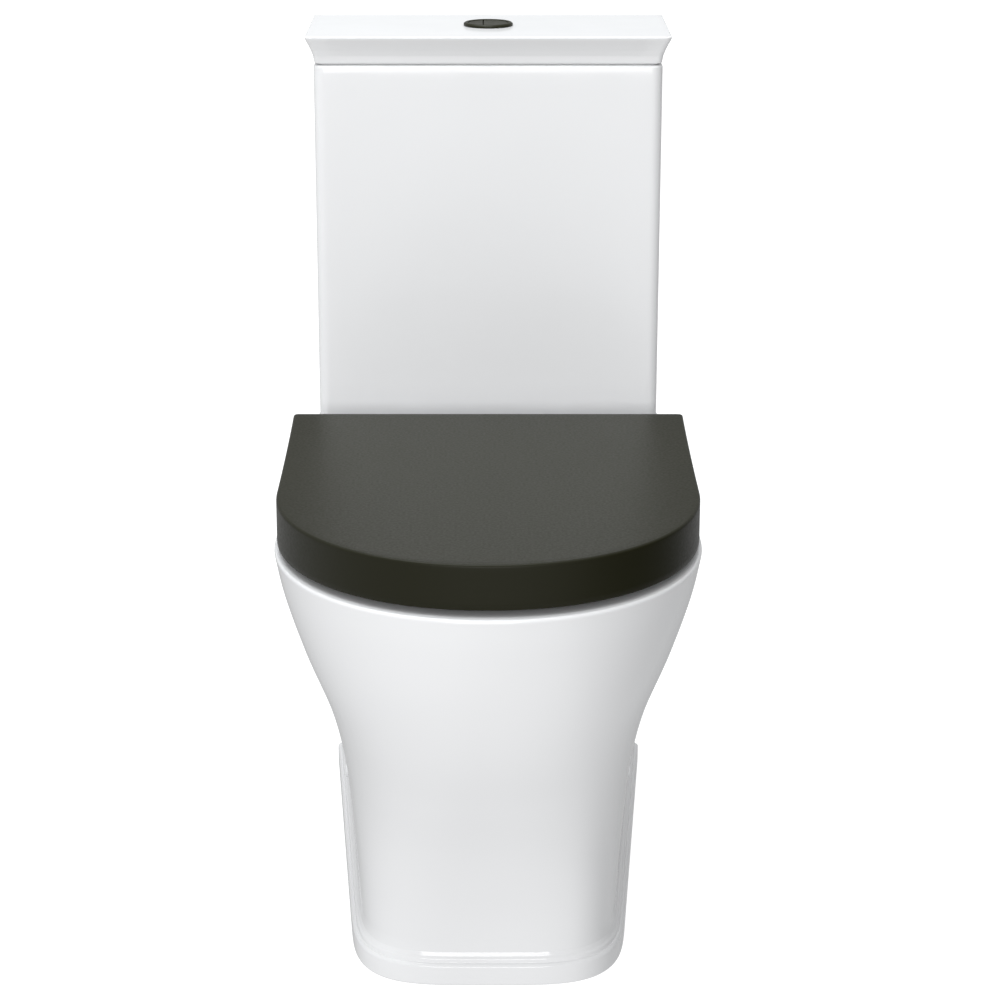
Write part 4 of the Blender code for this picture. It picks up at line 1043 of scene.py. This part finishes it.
def rings_and_nuts():
    """Washers, seals and nuts, each as tall and wide as its node. A hexagon's bore is cut after."""
    for node, bore, edge, sides in RINGS:
        low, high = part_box(node)
        radius = (high.x - low.x) / 2
        hexagon = sides == 6
        inner = 0.0 if hexagon else bore
        profile = ((inner, low.z), (radius, low.z), (radius, high.z), (inner, high.z))
        profile = rounded(profile, edge, closed=not hexagon)
        made = turned("fine_" + node, profile, centre_of(node), finish_of(node), sides)
        if hexagon:
            made = cut(made, upright("bore", centre_of(node), low.z - 0.002, high.z + 0.002, bore, finish_of(node)))
        fitted(made, node, "flush_tube" if node == "valve_seal" else "toilet")


def turned_pieces():
    """Pieces spun from one profile: the valve's base, the float, the inlet and the threaded studs."""
    base = (
        (0.0275, 0.4300), (0.0275, 0.4256), (0.0400, 0.4256), (0.0400, 0.4216),
        (0.0300, 0.4216), (0.0300, 0.3720), (0.0245, 0.3720), (0.0245, 0.4300),
    )
    cup = ((0.0240, 0.650), (0.0250, 0.646), (0.0250, 0.600), (0.0092, 0.600), (0.0092, 0.650))
    inlet = (
        (0.0, 0.690), (0.0085, 0.690), (0.0085, 0.4256), (0.0160, 0.4256), (0.0160, 0.4216), (0.0102, 0.4216),
        *threaded(0.412, 0.373, 0.0102, 0.0018, 0.0007), (0.0098, 0.3720), (0.0065, 0.3720), (0.0065, 0.6700),
        (0.0, 0.6700),
    )
    stud = ((0.0, 0.4075), (0.004, 0.4075), *threaded(0.404, 0.3655, 0.004), (0.0034, 0.365), (0.0, 0.365))
    for node, profile, centre, body, sides in (
        ("flush_valve_base", rounded(base, 0.0008), (0.0, VALVE_Y), "toilet", 96),
        ("fill_valve_float", rounded(cup, 0.0015), (FILL_X, VALVE_Y), "float", 96),
        ("fill_valve_stem", inlet, (FILL_X, VALVE_Y), "toilet", 96),
        ("hinge_stud_l", stud, centre_of("hinge_stud_l"), "toilet", 48),
        ("hinge_stud_r", stud, centre_of("hinge_stud_r"), "toilet", 48),
    ):
        fitted(turned("fine_" + node, profile, centre, finish_of(node), sides), node, body)


def cistern_bolts():
    """Slotted bolts and the wing nuts that hold the cistern down."""
    head = rounded(((0.0, 0.4270), (0.0095, 0.4270), (0.0095, 0.4216), (0.0040, 0.4216)), 0.0014, closed=False)
    bolt = [*head, *threaded(0.408, 0.3605, 0.004), (0.0034, 0.3600), (0.0, 0.3600)]
    hub = rounded(((0.0044, 0.3800), (0.0080, 0.3800), (0.0080, 0.3917), (0.0044, 0.3917)), 0.0008)
    for _, word in SIDES:
        x, y = centre_of("cistern_bolt_" + word)
        made = turned("fine_cistern_bolt_" + word, bolt, (x, y), STEEL, 64)
        slot = box("slot", (x - 0.012, y - 0.0007, 0.4252), (x + 0.012, y + 0.0007, 0.430), STEEL)
        fitted(cut(made, slot), "cistern_bolt_" + word)
        nut = turned("fine_wing_nut_" + word, hub, (x, y), NUT_PLASTIC, 64)
        for ahead in (-1, 1):
            front, back = span(ahead, 0.0065, 0.0180)
            wing = ((x - 0.0015, y + front, 0.3780), (x + 0.0015, y + back, 0.3880))
            nut = joined(nut, box("wing", *wing, NUT_PLASTIC, 0.0012))
        fitted(nut, "wing_nut_" + word)


def floor_brackets():
    """Folded zinc angles on the floor inside the skirt, and the screws through the skirt."""
    for side, word in SIDES:
        low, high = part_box("floor_bracket_" + word)
        screw_low, screw_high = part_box("side_screw_" + word)
        plate = high.x if side > 0 else -low.x
        middle = (low.y + high.y) / 2
        height = (screw_low.z + screw_high.z) / 2
        leaves = []
        for near, far, top in ((plate - 0.003, plate, high.z), (plate - 0.040, plate - 0.001, 0.003)):
            left, right = span(side, near, far)
            corners = ((left, low.y, 0.0), (right, high.y, top))
            leaves.append(box("fine_floor_bracket_" + word, *corners, ZINC, 0.0009))
        through = [(side * (plate + depth), middle, height) for depth in (-0.02, 0.02)]
        made = cut(
            joined(*leaves),
            bar("side_hole", *through, 0.0034, ZINC),
            upright("floor_hole", (side * (plate - 0.022), middle), -0.01, 0.01, 0.0035, ZINC),
        )
        fitted(made, "floor_bracket_" + word)
        length = screw_high.x - screw_low.x
        profile = (
            (0.0, 0.0), (0.0012, 0.0), *reversed(threaded(length - 0.0045, 0.0012, 0.003)),
            (0.0028, length - 0.0040), (0.0052, length - 0.0034), (0.0052, length - 0.0010),
            (0.0044, length), (0.0, length),
        )
        screw = turned("fine_side_screw_" + word, profile, (0.0, 0.0), STEEL, 48)
        tip = Vector((screw_low.x if side > 0 else screw_high.x, middle, height))
        fitted(laid(screw, tip, Vector((side, 0.0, 0.0))), "side_screw_" + word)


def levers_and_rods():
    """Push rods, rockers, the float's link and lever: moulded bars with round pins."""
    for node, body in (("push_rod_full", "full_button"), ("push_rod_half", "half_button"), ("float_link", "float")):
        low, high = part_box(node)
        radius = (high.x - low.x) / 2
        rod = upright("fine_" + node, centre_of(node), low.z, high.z, radius, finish_of(node), 48, 0.0005)
        fitted(rod, node, body)
    for word, side in HALVES:
        low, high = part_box("rocker_" + word)
        far = -side * 0.0145
        front, back = sorted((-side * 0.0105, far))
        arm = ((low.x, VALVE_Y + front, low.z), (high.x, VALVE_Y + back, high.z))
        pin = [(-side * 0.003, VALVE_Y + far + side * y, (low.z + high.z) / 2) for y in (0.001, -0.003)]
        made = joined(
            box("fine_rocker_" + word, *arm, VALVE_BLUE, 0.0009), bar("pin", *pin, PIN_RADIUS, VALVE_BLUE)
        )
        fitted(made, "rocker_" + word, word + "_lever")
    low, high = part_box("float_lever")
    arm = ((FILL_X - 0.003, low.y, low.z), (FILL_X + 0.003, high.y, high.z))
    pin = [(x, VALVE_Y, (low.z + high.z) / 2) for x in (low.x, high.x)]
    made = joined(box("fine_float_lever", *arm, VALVE_WHITE, 0.001), bar("pin", *pin, PIN_RADIUS, VALVE_WHITE))
    fitted(made, "float_lever", "fill_lever")


def carried_over():
    """Nodes that keep their CAD shape get their finish and shading."""
    for node in SLOTS:
        mesh = nodes[node].data
        mesh.materials.clear()
        mesh.materials.append(finish_of(node))
        shade(mesh)


# ---- Studio ----
# how bright the studio is seen along each axis, as (direction, level) stops that multiply each other
STUDIO_LEVELS = {
    "X": ((-1.0, 0.80), (-0.4, 0.70), (0.1, 0.66), (0.5, 0.74), (1.0, 0.05)),
    "Y": ((-1.0, 1.02), (0.0, 0.95), (1.0, 0.68)),
    "Z": ((-1.0, 1.35), (-0.3, 1.12), (0.0, 0.98), (0.35, 1.05), (1.0, 1.50)),
}
LEVEL_SCALE = 2.0


def floor():
    finish = Finish("floor_paint", (0.30, 0.30, 0.30), 0.9)
    finish.colour(finish.noise(3.0), (0.295, 0.295, 0.295), (0.305, 0.305, 0.305))
    finish.set("Specular IOR Level", 0.0)
    finish.set("Emission Color", (1.0, 1.0, 1.0, 1.0))
    finish.set("Emission Strength", 0.9)
    bm = bmesh.new()
    bmesh.ops.create_grid(bm, x_segments=2, y_segments=2, size=12.0)
    made = new_object("studio_floor", bm, finish.material)
    made.location = (0.0, 0.0, -0.0004)
    made.visible_diffuse = False
    made.visible_glossy = False


def world():
    """A studio whose brightness depends on the direction alone."""
    made = bpy.data.worlds.new("studio")
    made.use_nodes = True
    scene.world = made
    tree = made.node_tree
    add = tree.nodes.new
    link = tree.links.new
    background = tree.nodes["Background"]
    direction = add("ShaderNodeTexCoord").outputs["Generated"]
    split = add("ShaderNodeSeparateXYZ")
    link(direction, split.inputs["Vector"])
    level = None
    for axis, stops in STUDIO_LEVELS.items():
        fit = add("ShaderNodeMapRange")
        fit.inputs["From Min"].default_value = -1.0
        link(split.outputs[axis], fit.inputs["Value"])
        ramp = add("ShaderNodeValToRGB")
        ramp.color_ramp.interpolation = "EASE"
        link(fit.outputs["Result"], ramp.inputs["Fac"])
        elements = ramp.color_ramp.elements
        while len(elements) < len(stops):
            elements.new(0.5)
        for element, (direction_part, brightness) in zip(elements, stops):
            element.position = (direction_part + 1.0) / 2
            element.color = (*[brightness / LEVEL_SCALE] * 3, 1.0)
        scale = add("ShaderNodeMath")
        scale.operation = "MULTIPLY"
        scale.inputs[1].default_value = LEVEL_SCALE
        link(ramp.outputs["Color"], scale.inputs[0])
        if level is None:
            level = scale.outputs["Value"]
        else:
            product = add("ShaderNodeMath")
            product.operation = "MULTIPLY"
            link(level, product.inputs[0])
            link(scale.outputs["Value"], product.inputs[1])
            level = product.outputs["Value"]
    link(level, background.inputs["Strength"])
    background.inputs["Color"].default_value = (0.985, 0.992, 1.0, 1.0)


def softbox(name, place, aim, width, height, watts, colour=(1.0, 1.0, 1.0)):
    light = bpy.data.lights.new(name, "AREA")
    light.shape = "RECTANGLE"
    light.size = width
    light.size_y = height
    light.energy = watts
    light.color = colour
    made = bpy.data.objects.new(name, light)
    made.location = place
    made.rotation_euler = (Vector(aim) - Vector(place)).to_track_quat("-Z", "Y").to_euler()
    scene.collection.objects.link(made)


def camera():
    data = bpy.data.cameras.new("view")
    data.sensor_width = 36.0
    data.lens = 98.51
    data.shift_x = 0.0118
    made = bpy.data.objects.new("view", data)
    made.location = (0.0, WALL_Y - 2.761, 1.1686)
    made.rotation_euler = (math.radians(90.0 - 17.5), 0.0, 0.0)
    scene.collection.objects.link(made)
    scene.camera = made


pan()
cistern()
cistern_lid()
seat_lid()
seat_ring()
seat_hinges()
buffers()
button_collar()
flush_buttons()
button_springs()
cover_caps()
rings_and_nuts()
turned_pieces()
cistern_bolts()
floor_brackets()
levers_and_rods()
carried_over()
floor()
world()
softbox("top_box", (-0.3, 0.0, 2.7), (0.0, 0.15, 0.5), 1.8, 1.8, 50.0, (0.96, 0.985, 1.0))
softbox("key_box", (-0.2, -4.8, 1.4), (0.0, 0.0, 0.4), 3.0, 2.0, 91.0)
camera()
scene.view_settings.view_transform = "Standard"
